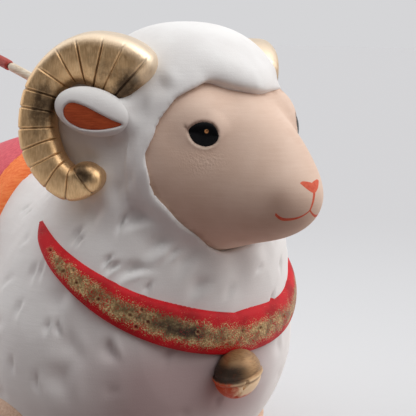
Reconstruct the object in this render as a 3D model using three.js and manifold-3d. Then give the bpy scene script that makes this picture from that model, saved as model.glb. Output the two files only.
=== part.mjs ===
import * as THREE from 'three';
import { mergeVertices } from 'three/addons/utils/BufferGeometryUtils.js';
import Module from 'manifold-3d';

const wasm = await Module();
wasm.setup();

// Painted bisque figurine of a resting sheep.
// Millimetres, Z up: it faces -Y and stands on Z = 0. It is mirrored across X = 0, but for the fringe,
// the seat of the left horn and ear, and the roll of the bell.

// Fits
const SEAT_GAP = 0.3;
const BORE_CLEARANCE = 0.25;

// Fleece: chest, rump, neck, crown, cheeks and the pads behind the horns blended into one wool form
const CHEST_HALF_WIDTH = 46.1;
const CHEST_HALF_DEPTH = 35;
const CHEST_HALF_HEIGHT = 41.2;
const CHEST_Y = -18.8;
const CHEST_Z = 35.4;
const RUMP_HALF_WIDTH = 41;
const RUMP_HALF_DEPTH = 38;
const RUMP_HALF_HEIGHT = 43.5;
const RUMP_Y = 22;
const RUMP_Z = 40;
const NECK_HALF_WIDTH = 33;
const NECK_HALF_DEPTH = 25;
const NECK_HALF_HEIGHT = 27;
const NECK_Y = -29.5;
const NECK_Z = 63;
const CROWN_HALF_WIDTH = 23.9;
const CROWN_HALF_DEPTH = 25.4;
const CROWN_HALF_HEIGHT = 25.5;
const CROWN_FULLNESS = 2.25;
const CROWN_Y = -36.7;
const CROWN_Z = 91.6;
const CHEEK_X = 13;
const CHEEK_HALF_WIDTH = 16;
const CHEEK_HALF_DEPTH = 20.5;
const CHEEK_HALF_HEIGHT = 19;
const CHEEK_Y = -32.5;
const CHEEK_Z = 84;
const PAD_HALF_REACH = 10;
const PAD_HALF_HEIGHT = 12;
const PAD_HALF_DEPTH = 6;
const PAD_BACK = 2.5;
const BODY_BLEND = 16;
const NECK_BLEND = 14;
const HEAD_BLEND = 9;
const CHEEK_BLEND = 10;
const PAD_BLEND = 6;

// Hollow of the casting and its pour hole
const WALL = 5;
const FLOOR = 4.5;
const HOLLOW_TOP = 54;
const POUR_RADIUS = 8;
const POUR_Y = 20;

// Face: skull, muzzle, bridge and brows, seen through a window in the fleece
const SKULL_HALF_WIDTH = 25.6;
const SKULL_HALF_DEPTH = 20.3;
const SKULL_HALF_HEIGHT = 24.4;
const SKULL_Y = -43.9;
const SKULL_Z = 84.5;
const MUZZLE_HALF_WIDTH = 10.4;
const MUZZLE_HALF_DEPTH = 12.8;
const MUZZLE_HALF_HEIGHT = 9.9;
const MUZZLE_Y = -67.4;
const MUZZLE_Z = 76.9;
const BROW_X = 12.4;
const BROW_RADIUS = 4.7;
const BROW_Y = -54.8;
const BROW_Z = 94.2;
const BRIDGE_HALF_WIDTH = 7;
const BRIDGE_HALF_DEPTH = 11.8;
const BRIDGE_HALF_HEIGHT = 9.5;
const BRIDGE_Y = -59.4;
const BRIDGE_Z = 85.1;
const MUZZLE_BLEND = 16;
const BRIDGE_BLEND = 10;
const BROW_BLEND = 6;
const FACE_BACK_Y = -40;
const FACE_FRONT_Y = -90;

// Edge of the wool round the face (X, Z): the forehead, the left side, the throat, the right side and the
// notch in the fringe
const FACE_EDGE = [
  [0, 100.4], [4.5, 100], [9, 99.9], [13.5, 100.3], [17.2, 99.5], [21, 96.8], [23.8, 92.2],
  [25, 87], [24.6, 82], [22.7, 77.1], [18.9, 72.2], [13.6, 67.7], [7.8, 63.6], [0, 61.2],
  [-7.8, 63.6], [-13.6, 67.7], [-18.7, 72.2], [-22.4, 77.1], [-24.1, 82], [-24.5, 86.4], [-23.3, 91.3],
  [-21.1, 95.8], [-18.1, 99.8], [-13.2, 102.4], [-9.8, 103.4], [-5, 101.6],
];

// Eyes
const EYE_X = 15.6;
const EYE_Z = 91.5;
const EYE_TURN = 8;
const EYE_HALF_LENGTH = 3.6;
const EYE_HALF_HEIGHT = 2.9;
const EYE_HALF_DEPTH = 2.2;
const EYE_PROUD = 0.7;

// Horns: an oval curl in an upright plane turned out from the head
const HORN_YAW = 50.3;
const HORN_SINK = 1.3;
const HORN_BACK = 1.1;
const HORN_RISE = 2.4;
const HORN_HALF_REACH = 12.2;
const HORN_HALF_HEIGHT = 14.5;
const HORN_START_ANGLE = 151;
const HORN_END_ANGLE = -110;
const HORN_ROOT_FLARE = 0.24;
const HORN_FLARE_RUN = 0.2;
const HORN_ROOT_RADIUS = 7.9;
const HORN_TIP_RADIUS = 4.5;
const HORN_TAPER_START = 0.06;
const HORN_TAPER_END = 0.46;
const HORN_ROOT_SINK = 1;
const HORN_TIP_FORWARD = 6.5;
const HORN_FORWARD_POWER = 1.3;
const HORN_GROOVES = 14;
const HORN_GROOVE_DEPTH = 0.5;
const HORN_GROOVE_WIDTH = 1.1;
const HORN_ROOT_ROUND = 6;
const HORN_TIP_ROUND = 3.6;

// The left horn and ear sit a little further in, further back and lower than the right ones
const LEFT_INWARD = 1.7;
const LEFT_BACK = 1.3;
const LEFT_LOWER = 2.1;

// Ears, placed in the plane of the horn
const EAR_OUT = -1.9;
const EAR_UP = 2.4;
const EAR_FORWARD = 6.4;
const EAR_TILT = 14;
const EAR_HALF_LENGTH = 9;
const EAR_HALF_HEIGHT = 5.6;
const EAR_HALF_DEPTH = 3.4;
const LINING_HALF_LENGTH = 7;
const LINING_HALF_HEIGHT = 3;
const LINING_DROP = 1.2;
const LINING_RECESS = 1;
const LINING_DEPTH = 1.9;

// Collar: edges in the side view (Y, Z), each a curve through the tip, a middle and a front point. It hangs lower
// on the left, by a share of the distance from the middle.
const COLLAR_TIP = [-18.9, 66.9];
const COLLAR_TOP_MIDDLE = [-38, 56.7];
const COLLAR_TOP_FRONT = [-56, 45.5];
const COLLAR_LOW_MIDDLE = [-38, 48.6];
const COLLAR_LOW_FRONT = [-54, 35.7];
const COLLAR_HANG = 0.115;
const COLLAR_RUN_OUT = 10;
const COLLAR_TIP_BLUNT = 0.01;
const COLLAR_RELIEF = 1.4;

// Bell
const BELL_RADIUS = 5.9;
const BELL_Z = 31.2;
const BELL_SINK = 1.6;
const BELL_ROLL = 14;
const BELL_RIDGE = 0.5;
const BELL_SLOT_WIDTH = 1.1;
const BELL_SLOT_DEPTH = 1.2;

// Saddle cloth
const SADDLE_FRONT_Y = 4;
const SADDLE_FRONT_LEAN = 0.33;
const SADDLE_LEAN_Z = 65;
const SADDLE_REAR_Y = 47;
const SADDLE_HEM_Z = 46;
const SADDLE_BORDER = 5;
const SADDLE_RELIEF = 1.3;
const SPINE_BAND_WIDTH = 4;
const SPINE_BAND_RELIEF = 1.7;

// Folded legs, each from its hoof to its upper end, lying against the flank
const LEG_SINK = 3;
const FORE_HOOF_Y = -26;
const FORE_HOOF_Z = 6.5;
const FORE_HOOF_RADIUS = 7.2;
const FORE_TOE_IN = 7;
const FORE_ELBOW_Y = 3;
const FORE_ELBOW_Z = 11;
const FORE_ELBOW_RADIUS = 9.3;
const HIND_HOOF_Y = 21;
const HIND_HOOF_Z = 6.5;
const HIND_HOOF_RADIUS = 7;
const HIND_TOE_OUT = 6;
const HIND_HOCK_Y = 42;
const HIND_HOCK_Z = 10;
const HIND_HOCK_RADIUS = 9.5;

// Tail
const TAIL_HALF_WIDTH = 7;
const TAIL_HALF_DEPTH = 6;
const TAIL_HALF_HEIGHT = 10;
const TAIL_Z = 36;
const TAIL_SINK = 1.5;

// Stick behind the head
const STICK_RADIUS = 1.3;
const STICK_TIP_RADIUS = 1.55;
const STICK_RISE = 15.7;
const STICK_PASS_Y = 33.7;
const STICK_PASS_Z = 101.7;
const STICK_SEAT_DEPTH = 10;
const STICK_LENGTH = 79;
const STICK_TIP_LENGTH = 15;
const STICK_TIP_PLUG = 4;
const STICK_PLUG_RADIUS = 0.65;

// Fineness of the surfaces
const FLEECE_SKIN_STEPS = 11;
const HOLLOW_SKIN_STEPS = 5;
const FACE_SKIN_STEPS = 8;
const ROUND_SIDES = 20;
const SMALL_SIDES = 16;
const HORN_SIDES = 12;
const RIDGE_SIDES = 6;
const END_RING_ANGLES = [15, 40, 65];
const EDGE_STEPS = 3;
const ARC_STEPS = 16;
const BALL_STEPS = 5;
const RUN_STEPS = 60;
const NORMAL_STEP = 0.05;
const WELD_DISTANCE = 1e-4;

// Upright plane of the left horn: outward, up and forward directions
const hornYaw = THREE.MathUtils.degToRad(HORN_YAW);
const hornOut = new THREE.Vector3(Math.cos(hornYaw), Math.sin(hornYaw), 0);
const hornForward = new THREE.Vector3(Math.sin(hornYaw), -Math.cos(hornYaw), 0);
const hornCentre = new THREE.Vector3(
  CHEEK_X + CHEEK_HALF_WIDTH - HORN_SINK, CHEEK_Y - HORN_BACK, CROWN_Z + HORN_RISE,
);

// Signed distance to an ellipsoid, close to true near its surface. A fullness above 2 fills it out.
function blob(x, y, z, halfX, halfY, halfZ, fullness = 2) {
  const shares = [Math.abs(x) / halfX, Math.abs(y) / halfY, Math.abs(z) / halfZ];
  const near = (shares[0] ** fullness + shares[1] ** fullness + shares[2] ** fullness) ** (1 / fullness);
  const slope = Math.hypot(
    shares[0] ** (fullness - 1) / halfX, shares[1] ** (fullness - 1) / halfY, shares[2] ** (fullness - 1) / halfZ,
  );
  return (near ** (fullness - 1) * (near - 1)) / Math.max(slope, 1e-9);
}

function blend(first, second, reach) {
  const share = THREE.MathUtils.clamp(0.5 + (0.5 * (second - first)) / reach, 0, 1);
  return second * (1 - share) + first * share - reach * share * (1 - share);
}

function fleeceField(x, y, z) {
  const side = Math.abs(x);
  const chest = blob(x, y - CHEST_Y, z - CHEST_Z, CHEST_HALF_WIDTH, CHEST_HALF_DEPTH, CHEST_HALF_HEIGHT);
  const rump = blob(x, y - RUMP_Y, z - RUMP_Z, RUMP_HALF_WIDTH, RUMP_HALF_DEPTH, RUMP_HALF_HEIGHT);
  const neck = blob(x, y - NECK_Y, z - NECK_Z, NECK_HALF_WIDTH, NECK_HALF_DEPTH, NECK_HALF_HEIGHT);
  const crown = blob(
    x, y - CROWN_Y, z - CROWN_Z, CROWN_HALF_WIDTH, CROWN_HALF_DEPTH, CROWN_HALF_HEIGHT, CROWN_FULLNESS,
  );
  const cheek = blob(
    side - CHEEK_X, y - CHEEK_Y, z - CHEEK_Z, CHEEK_HALF_WIDTH, CHEEK_HALF_DEPTH, CHEEK_HALF_HEIGHT,
  );
  const body = blend(blend(chest, rump, BODY_BLEND), neck, NECK_BLEND);
  const east = side - hornCentre.x;
  const north = y - hornCentre.y;
  const pad = blob(
    east * hornOut.x + north * hornOut.y, east * hornForward.x + north * hornForward.y + PAD_BACK,
    z - hornCentre.z, PAD_HALF_REACH, PAD_HALF_DEPTH, PAD_HALF_HEIGHT,
  );
  const head = blend(blend(crown, cheek, CHEEK_BLEND), pad, PAD_BLEND);
  return blend(body, head, HEAD_BLEND);
}

function faceField(x, y, z) {
  const side = Math.abs(x);
  const skull = blob(x, y - SKULL_Y, z - SKULL_Z, SKULL_HALF_WIDTH, SKULL_HALF_DEPTH, SKULL_HALF_HEIGHT);
  const muzzle = blob(
    x, y - MUZZLE_Y, z - MUZZLE_Z, MUZZLE_HALF_WIDTH, MUZZLE_HALF_DEPTH, MUZZLE_HALF_HEIGHT,
  );
  const brow = Math.hypot(side - BROW_X, y - BROW_Y, z - BROW_Z) - BROW_RADIUS;
  const bridge = blob(
    x, y - BRIDGE_Y, z - BRIDGE_Z, BRIDGE_HALF_WIDTH, BRIDGE_HALF_DEPTH, BRIDGE_HALF_HEIGHT,
  );
  const snout = blend(blend(skull, muzzle, MUZZLE_BLEND), bridge, BRIDGE_BLEND);
  return blend(snout, brow, BROW_BLEND);
}

// Distance from a point along a direction to the place where a field reaches a level
function reachOf(field, from, direction, level, farthest) {
  const at = (t) => field(
    from.x + direction.x * t, from.y + direction.y * t, from.z + direction.z * t,
  ) - level;
  let inner = 0;
  let outer = farthest;
  let middle = (inner + outer) / 2;
  while (middle > inner && middle < outer) {
    if (at(middle) < 0) {
      inner = middle;
    } else {
      outer = middle;
    }
    middle = (inner + outer) / 2;
  }
  return middle;
}

function outwardNormal(field, point) {
  const step = NORMAL_STEP;
  return new THREE.Vector3(
    field(point.x + step, point.y, point.z) - field(point.x - step, point.y, point.z),
    field(point.x, point.y + step, point.z) - field(point.x, point.y - step, point.z),
    field(point.x, point.y, point.z + step) - field(point.x, point.y, point.z - step),
  ).normalize();
}

// Closed geometry with only positions, shared vertices merged
function bare(geometry) {
  const copy = geometry.clone();
  copy.deleteAttribute('normal');
  copy.deleteAttribute('uv');
  return mergeVertices(copy, WELD_DISTANCE);
}

function solid(geometry) {
  const clean = bare(geometry);
  return new wasm.Manifold(new wasm.Mesh({
    numProp: 3,
    vertProperties: new Float32Array(clean.attributes.position.array),
    triVerts: new Uint32Array(clean.index.array),
  }));
}

// Mirror image across X = 0, with its faces turned back outward
function mirrored(geometry) {
  const copy = bare(geometry);
  copy.scale(-1, 1, 1);
  const order = copy.index.array;
  for (let i = 0; i < order.length; i += 3) {
    const second = order[i + 1];
    order[i + 1] = order[i + 2];
    order[i + 2] = second;
  }
  return copy;
}

// Surface of a field at a level, pushed out from a centre
function skin(field, centre, steps, level) {
  const geometry = bare(new THREE.IcosahedronGeometry(1, steps));
  const place = geometry.attributes.position;
  const direction = new THREE.Vector3();
  for (let i = 0; i < place.count; i += 1) {
    direction.fromBufferAttribute(place, i).normalize();
    const reach = reachOf(field, centre, direction, level, 2 * widest);
    place.setXYZ(
      i, centre.x + direction.x * reach, centre.y + direction.y * reach, centre.z + direction.z * reach,
    );
  }
  return geometry;
}

function ellipsoid(halfX, halfY, halfZ, sides = ROUND_SIDES) {
  return new THREE.SphereGeometry(1, sides, sides / 2).scale(halfX, halfY, halfZ);
}

function boxBetween(low, high) {
  const size = new THREE.Vector3(high[0] - low[0], high[1] - low[1], high[2] - low[2]);
  return new THREE.BoxGeometry(size.x, size.y, size.z)
    .translate(low[0] + size.x / 2, low[1] + size.y / 2, low[2] + size.z / 2);
}

// Prism across the body: an outline in Y and Z, run along X between two values
function sidePrism(points, fromX, toX) {
  const outline = new THREE.Shape(points.map(([y, z]) => new THREE.Vector2(y, z)));
  const frame = new THREE.Matrix4().makeBasis(
    new THREE.Vector3(0, 1, 0), new THREE.Vector3(0, 0, 1), new THREE.Vector3(1, 0, 0),
  );
  return new THREE.ExtrudeGeometry(outline, { depth: toX - fromX, bevelEnabled: false, steps: 1 })
    .applyMatrix4(frame).translate(fromX, 0, 0);
}

// A point inside the wool that sees all of its surface
const bodyCentre = new THREE.Vector3(
  0, (CHEST_Y + RUMP_Y + CROWN_Y) / 3, (CHEST_Z + RUMP_Z + CROWN_Z) / 3,
);
const widest = 2 * CHEST_HALF_WIDTH;
const highest = CROWN_Z + 2 * CROWN_HALF_HEIGHT;

const fleeceSkin = (level, steps = FLEECE_SKIN_STEPS) => solid(
  skin(fleeceField, bodyCentre, steps, level),
);
const aboveFloor = solid(boxBetween([-widest, -widest, 0], [widest, widest, highest]));
const woolSeat = fleeceSkin(SEAT_GAP);

// Window of the face: the edge grown by a margin, run along Y
function faceWindow(margin, backY) {
  const corners = FACE_EDGE.map(([x, z]) => new THREE.Vector3(x, 0, z));
  const edge = new THREE.CatmullRomCurve3(corners, true, 'catmullrom', 0.5);
  const points = edge.getPoints(EDGE_STEPS * FACE_EDGE.length).slice(0, -1);
  const grown = points.map((point, i) => {
    const before = points[(i + points.length - 1) % points.length];
    const after = points[(i + 1) % points.length];
    const along = new THREE.Vector2(after.x - before.x, after.z - before.z).normalize();
    return new THREE.Vector2(point.x - along.y * margin, point.z + along.x * margin);
  });
  const frame = new THREE.Matrix4().makeBasis(
    new THREE.Vector3(1, 0, 0), new THREE.Vector3(0, 0, 1), new THREE.Vector3(0, -1, 0),
  );
  const depth = backY - FACE_FRONT_Y;
  return new THREE.ExtrudeGeometry(new THREE.Shape(grown), { depth, bevelEnabled: false, steps: 1 })
    .applyMatrix4(frame).translate(0, backY, 0);
}

// Stick axis, the place where it leaves the nape and the bottom of its bore
const stickRise = THREE.MathUtils.degToRad(STICK_RISE);
const stickAxis = new THREE.Vector3(0, Math.cos(stickRise), Math.sin(stickRise));
const stickPass = new THREE.Vector3(0, STICK_PASS_Y, STICK_PASS_Z);
const stickInside = stickPass.clone().addScaledVector(stickAxis, -(STICK_PASS_Y - NECK_Y) / stickAxis.y);
const napeReach = reachOf(fleeceField, stickInside, stickAxis, 0, STICK_LENGTH);
const stickMouth = stickInside.clone().addScaledVector(stickAxis, napeReach);
const stickSeat = stickMouth.clone().addScaledVector(stickAxis, -STICK_SEAT_DEPTH);

// Round bar along the stick's axis, from one distance above the seat to another
function stickBar(radius, from, to) {
  const middle = stickSeat.clone().addScaledVector(stickAxis, (from + to) / 2);
  return new THREE.CylinderGeometry(radius, radius, to - from, ROUND_SIDES)
    .rotateX(stickRise).translate(middle.x, middle.y, middle.z);
}

function makeFleece() {
  const hollowRoom = solid(boxBetween([-widest, -widest, FLOOR], [widest, widest, HOLLOW_TOP]));
  const hollow = fleeceSkin(-WALL, HOLLOW_SKIN_STEPS).intersect(hollowRoom);
  const pourHole = solid(
    new THREE.CylinderGeometry(POUR_RADIUS, POUR_RADIUS, 2 * HOLLOW_TOP, ROUND_SIDES)
      .rotateX(Math.PI / 2).translate(0, POUR_Y, 0),
  );
  const bore = solid(stickBar(STICK_RADIUS + BORE_CLEARANCE, 0, STICK_LENGTH));
  return fleeceSkin(0).intersect(aboveFloor).subtract(hollow).subtract(pourHole).subtract(bore)
    .subtract(solid(faceWindow(SEAT_GAP, FACE_BACK_Y)));
}

// Place, outward direction and turned axes of an eye on the face
function eyeFrame() {
  const from = new THREE.Vector3(EYE_X, SKULL_Y, EYE_Z);
  const reach = reachOf(faceField, from, new THREE.Vector3(0, -1, 0), 0, -FACE_FRONT_Y);
  const spot = new THREE.Vector3(EYE_X, SKULL_Y - reach, EYE_Z);
  const upright = new THREE.Vector3(0, 0, 1);
  const outward = outwardNormal(faceField, spot).applyAxisAngle(upright, THREE.MathUtils.degToRad(EYE_TURN));
  const along = upright.clone().cross(outward).normalize();
  const up = outward.clone().cross(along);
  spot.addScaledVector(outward, EYE_PROUD - EYE_HALF_DEPTH);
  return new THREE.Matrix4().makeBasis(along, up, outward).setPosition(spot);
}

function eyeGeometry(margin) {
  return ellipsoid(EYE_HALF_LENGTH + margin, EYE_HALF_HEIGHT + margin, EYE_HALF_DEPTH + margin, SMALL_SIDES)
    .applyMatrix4(eyeFrame());
}

function makeFace() {
  const centre = new THREE.Vector3(0, (SKULL_Y + MUZZLE_Y) / 2, (SKULL_Z + MUZZLE_Z) / 2);
  const socket = eyeGeometry(SEAT_GAP);
  return solid(skin(faceField, centre, FACE_SKIN_STEPS, 0))
    .intersect(solid(faceWindow(0, FACE_BACK_Y - SEAT_GAP)))
    .subtract(solid(socket)).subtract(solid(mirrored(socket)));
}

function inHornPlane(out, up, forward) {
  return hornCentre.clone().addScaledVector(hornOut, out).addScaledVector(hornForward, forward)
    .add(new THREE.Vector3(0, 0, up));
}

function hornPoint(t) {
  const angle = THREE.MathUtils.degToRad(HORN_START_ANGLE + (HORN_END_ANGLE - HORN_START_ANGLE) * t);
  const flare = 1 + HORN_ROOT_FLARE * Math.max(0, 1 - t / HORN_FLARE_RUN) ** 2;
  const forward = -HORN_ROOT_SINK + (HORN_ROOT_SINK + HORN_TIP_FORWARD) * t ** HORN_FORWARD_POWER;
  return inHornPlane(
    HORN_HALF_REACH * flare * Math.cos(angle), HORN_HALF_HEIGHT * flare * Math.sin(angle), forward,
  );
}

function hornRadius(t) {
  const thin = THREE.MathUtils.smoothstep(t, HORN_TAPER_START, HORN_TAPER_END);
  return HORN_ROOT_RADIUS + (HORN_TIP_RADIUS - HORN_ROOT_RADIUS) * thin;
}

function hornLength() {
  let length = 0;
  for (let i = 0; i < RUN_STEPS; i += 1) {
    length += hornPoint(i / RUN_STEPS).distanceTo(hornPoint((i + 1) / RUN_STEPS));
  }
  return length;
}

// Stations along the horn: share of its run, share of its radius and depth of a groove
function hornStations() {
  const length = hornLength();
  const root = HORN_ROOT_ROUND / length;
  const tip = HORN_TIP_ROUND / length;
  const lip = HORN_GROOVE_WIDTH / 2 / length;
  const rounding = END_RING_ANGLES.map(THREE.MathUtils.degToRad);
  const first = root + lip;
  const last = 1 - tip - lip;
  const stations = rounding.map((rise) => [root * (1 - Math.cos(rise)), Math.sin(rise), 0]);
  for (let groove = 0; groove < HORN_GROOVES; groove += 1) {
    const t = first + ((last - first) * groove) / (HORN_GROOVES - 1);
    stations.push([t - lip, 1, 0], [t, 1, HORN_GROOVE_DEPTH], [t + lip, 1, 0]);
  }
  for (const rise of rounding.reverse()) {
    stations.push([1 - tip * (1 - Math.cos(rise)), Math.sin(rise), 0]);
  }
  return stations;
}

function hornGeometry(margin) {
  const stations = hornStations();
  const points = [];
  for (const [t, share, groove] of stations) {
    const centre = hornPoint(t);
    const ahead = hornPoint(Math.min(t + 1 / RUN_STEPS, 1));
    const along = ahead.sub(hornPoint(Math.max(t - 1 / RUN_STEPS, 0))).normalize();
    const front = hornForward.clone().addScaledVector(along, -hornForward.dot(along)).normalize();
    const across = along.clone().cross(front);
    const radius = hornRadius(t) * share - groove + margin;
    for (let side = 0; side < HORN_SIDES; side += 1) {
      const turn = (2 * Math.PI * side) / HORN_SIDES;
      const corner = centre.clone().addScaledVector(front, radius * Math.cos(turn))
        .addScaledVector(across, radius * Math.sin(turn));
      points.push(corner.x, corner.y, corner.z);
    }
  }
  const rootEnd = points.length / 3;
  points.push(...hornPoint(0).toArray(), ...hornPoint(1).toArray());
  const faces = [];
  for (let ring = 0; ring < stations.length - 1; ring += 1) {
    for (let side = 0; side < HORN_SIDES; side += 1) {
      const next = (side + 1) % HORN_SIDES;
      const low = ring * HORN_SIDES;
      const high = low + HORN_SIDES;
      faces.push(low + side, low + next, high + next, low + side, high + next, high + side);
    }
  }
  const last = (stations.length - 1) * HORN_SIDES;
  for (let side = 0; side < HORN_SIDES; side += 1) {
    const next = (side + 1) % HORN_SIDES;
    faces.push(rootEnd, next, side, rootEnd + 1, last + side, last + next);
  }
  const geometry = new THREE.BufferGeometry();
  geometry.setAttribute('position', new THREE.Float32BufferAttribute(points, 3));
  geometry.setIndex(faces);
  return geometry;
}

// Turned axes of the left ear: along the leaf, across it and out of its face
function earFrame(outOfFace, drop) {
  const tilt = THREE.MathUtils.degToRad(EAR_TILT);
  const along = hornOut.clone().multiplyScalar(Math.cos(tilt)).add(new THREE.Vector3(0, 0, Math.sin(tilt)));
  const across = hornForward.clone().cross(along);
  const centre = inHornPlane(EAR_OUT, EAR_UP, EAR_FORWARD).addScaledVector(hornForward, outOfFace)
    .addScaledVector(across, -drop);
  return new THREE.Matrix4().makeBasis(along, across, hornForward).setPosition(centre);
}

function earScoop(margin) {
  return ellipsoid(
    LINING_HALF_LENGTH - margin, LINING_HALF_HEIGHT - margin, LINING_RECESS + LINING_DEPTH - margin, SMALL_SIDES,
  );
}

function earGeometry() {
  return ellipsoid(EAR_HALF_LENGTH, EAR_HALF_HEIGHT, EAR_HALF_DEPTH, SMALL_SIDES).applyMatrix4(earFrame(0, 0));
}

// Solid of a geometry of the left horn or ear, set on its side of the head
function onSide(side, geometry) {
  return solid(side > 0 ? geometry.translate(-LEFT_INWARD, LEFT_BACK, -LEFT_LOWER) : mirrored(geometry));
}

function makeEar(side) {
  return onSide(side, earGeometry())
    .subtract(onSide(side, earScoop(0).applyMatrix4(earFrame(EAR_HALF_DEPTH, LINING_DROP))))
    .subtract(onSide(side, hornGeometry(SEAT_GAP)))
    .subtract(woolSeat);
}

function makeLining(side) {
  const lower = boxBetween(
    [-EAR_HALF_LENGTH, -EAR_HALF_HEIGHT, -EAR_HALF_DEPTH], [EAR_HALF_LENGTH, EAR_HALF_HEIGHT, -LINING_RECESS],
  );
  const place = earFrame(EAR_HALF_DEPTH, LINING_DROP);
  return onSide(side, earScoop(SEAT_GAP).applyMatrix4(place)).intersect(onSide(side, lower.applyMatrix4(place)))
    .subtract(woolSeat);
}

function makeHorn(side) {
  return onSide(side, hornGeometry(0)).subtract(woolSeat);
}

// Points of a smooth curve through three points in Y and Z, from the collar's tip past the front of the chest
function collarEdge(first, second, third, margin) {
  const points = [];
  const share = (y, own, one, other) => {
    const span = (own[0] - one[0]) * (own[0] - other[0]);
    return (own[1] * (y - one[0]) * (y - other[0])) / span;
  };
  const height = (y) => share(y, first, second, third) + share(y, second, first, third)
    + share(y, third, first, second);
  const endY = third[0] - COLLAR_RUN_OUT;
  for (let i = 0; i <= ARC_STEPS; i += 1) {
    const y = first[0] + ((endY - first[0]) * i) / ARC_STEPS;
    points.push([y, height(y) + margin]);
  }
  return points;
}

function collarPrism(margin) {
  const grown = margin + COLLAR_TIP_BLUNT;
  const top = collarEdge(COLLAR_TIP, COLLAR_TOP_MIDDLE, COLLAR_TOP_FRONT, grown);
  const low = collarEdge(COLLAR_TIP, COLLAR_LOW_MIDDLE, COLLAR_LOW_FRONT, -grown);
  const hang = new THREE.Matrix4().makeShear(0, -COLLAR_HANG, 0, 0, 0, 0);
  return solid(sidePrism([...top, ...low.reverse()], -widest, widest).applyMatrix4(hang));
}

function makeCollar() {
  return fleeceSkin(SEAT_GAP + COLLAR_RELIEF).intersect(collarPrism(0)).subtract(woolSeat);
}

function makeBell() {
  const from = new THREE.Vector3(0, CHEST_Y, BELL_Z);
  const reach = reachOf(fleeceField, from, new THREE.Vector3(0, -1, 0), 0, widest);
  const centreY = CHEST_Y - reach - BELL_RADIUS + BELL_SINK;
  const roll = THREE.MathUtils.degToRad(BELL_ROLL);
  const place = new THREE.Matrix4().makeRotationY(-roll).setPosition(0, centreY, BELL_Z);
  const ball = solid(ellipsoid(BELL_RADIUS, BELL_RADIUS, BELL_RADIUS).applyMatrix4(place));
  const ridge = solid(
    new THREE.TorusGeometry(BELL_RADIUS, BELL_RIDGE, RIDGE_SIDES, ROUND_SIDES).applyMatrix4(place),
  );
  const slotBottom = BELL_RADIUS - BELL_SLOT_DEPTH;
  const slotEdge = BELL_SLOT_WIDTH / 2;
  const slotBlock = solid(
    boxBetween([-slotEdge, -2 * BELL_RADIUS, -2 * BELL_RADIUS], [slotEdge, 0, -2 * BELL_RIDGE])
      .applyMatrix4(place),
  );
  const slotFloor = solid(ellipsoid(slotBottom, slotBottom, slotBottom).applyMatrix4(place));
  const collarSeat = fleeceSkin(COLLAR_RELIEF + 2 * SEAT_GAP).intersect(collarPrism(SEAT_GAP));
  return ball.add(ridge).subtract(slotBlock.subtract(slotFloor)).subtract(woolSeat).subtract(collarSeat);
}

const saddleFrontAt = (z, inset) => SADDLE_FRONT_Y + SADDLE_FRONT_LEAN * (z - SADDLE_LEAN_Z) + inset;

// Part of the saddle between an inset from its leaning front edge and a rear limit for each height
function saddleRegion(frontInset, rearAt, lowZ, highZ, fromX, toX) {
  return solid(sidePrism([
    [saddleFrontAt(lowZ, frontInset), lowZ],
    [rearAt(lowZ), lowZ],
    [rearAt(highZ), highZ],
    [saddleFrontAt(highZ, frontInset), highZ],
  ], fromX, toX));
}

function saddlePiece(relief, region) {
  return fleeceSkin(SEAT_GAP + relief).intersect(region).subtract(woolSeat);
}

function makeSaddle() {
  const inset = SADDLE_BORDER + SEAT_GAP;
  const hemTop = SADDLE_HEM_Z + SADDLE_BORDER;
  const fieldLow = hemTop + SEAT_GAP;
  const bandEdge = SPINE_BAND_WIDTH / 2;
  const fieldEdge = bandEdge + SEAT_GAP;
  const innerRear = () => SADDLE_REAR_Y - inset;
  const frontBand = saddleRegion(
    0, (z) => saddleFrontAt(z, SADDLE_BORDER), SADDLE_HEM_Z, highest, -widest, widest,
  );
  const rearBand = solid(boxBetween(
    [-widest, SADDLE_REAR_Y - SADDLE_BORDER, SADDLE_HEM_Z], [widest, SADDLE_REAR_Y, highest],
  ));
  const hem = (fromX, toX) => saddleRegion(inset, innerRear, SADDLE_HEM_Z, hemTop, fromX, toX);
  const field = (fromX, toX) => saddleRegion(inset, innerRear, fieldLow, highest, fromX, toX);
  return {
    saddle_front_border: saddlePiece(SADDLE_RELIEF, frontBand),
    saddle_rear_border: saddlePiece(SADDLE_RELIEF, rearBand),
    saddle_right_hem: saddlePiece(SADDLE_RELIEF, hem(-widest, 0)),
    saddle_left_hem: saddlePiece(SADDLE_RELIEF, hem(0, widest)),
    saddle_right_field: saddlePiece(SADDLE_RELIEF, field(-widest, -fieldEdge)),
    saddle_left_field: saddlePiece(SADDLE_RELIEF, field(fieldEdge, widest)),
    saddle_spine_band: saddlePiece(SPINE_BAND_RELIEF, field(-bandEdge, bandEdge)),
  };
}

// Round limb between two balls of different radius
function limbGeometry(start, startRadius, end, endRadius) {
  const from = new THREE.Vector3(...start);
  const to = new THREE.Vector3(...end);
  const length = from.distanceTo(to);
  const profile = [];
  for (let i = 0; i <= BALL_STEPS; i += 1) {
    const turn = (Math.PI / 2) * (i / BALL_STEPS);
    profile.push(new THREE.Vector2(startRadius * Math.sin(turn), -startRadius * Math.cos(turn)));
  }
  for (let i = BALL_STEPS; i >= 0; i -= 1) {
    const turn = (Math.PI / 2) * (i / BALL_STEPS);
    profile.push(new THREE.Vector2(endRadius * Math.sin(turn), length + endRadius * Math.cos(turn)));
  }
  profile[0].x = 0;
  profile[profile.length - 1].x = 0;
  const lean = new THREE.Quaternion().setFromUnitVectors(
    new THREE.Vector3(0, 1, 0), to.clone().sub(from).normalize(),
  );
  return new THREE.LatheGeometry(profile, SMALL_SIDES).applyQuaternion(lean)
    .translate(from.x, from.y, from.z);
}

// Distance from the middle of the body to a ball that lies sunk in the flank
function flankX(y, z, radius) {
  const reach = reachOf(fleeceField, new THREE.Vector3(0, y, z), new THREE.Vector3(1, 0, 0), 0, widest);
  return reach + radius - LEG_SINK;
}

function makeLeg(side, geometry) {
  return solid(side > 0 ? geometry : mirrored(geometry)).intersect(aboveFloor).subtract(woolSeat);
}

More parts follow.
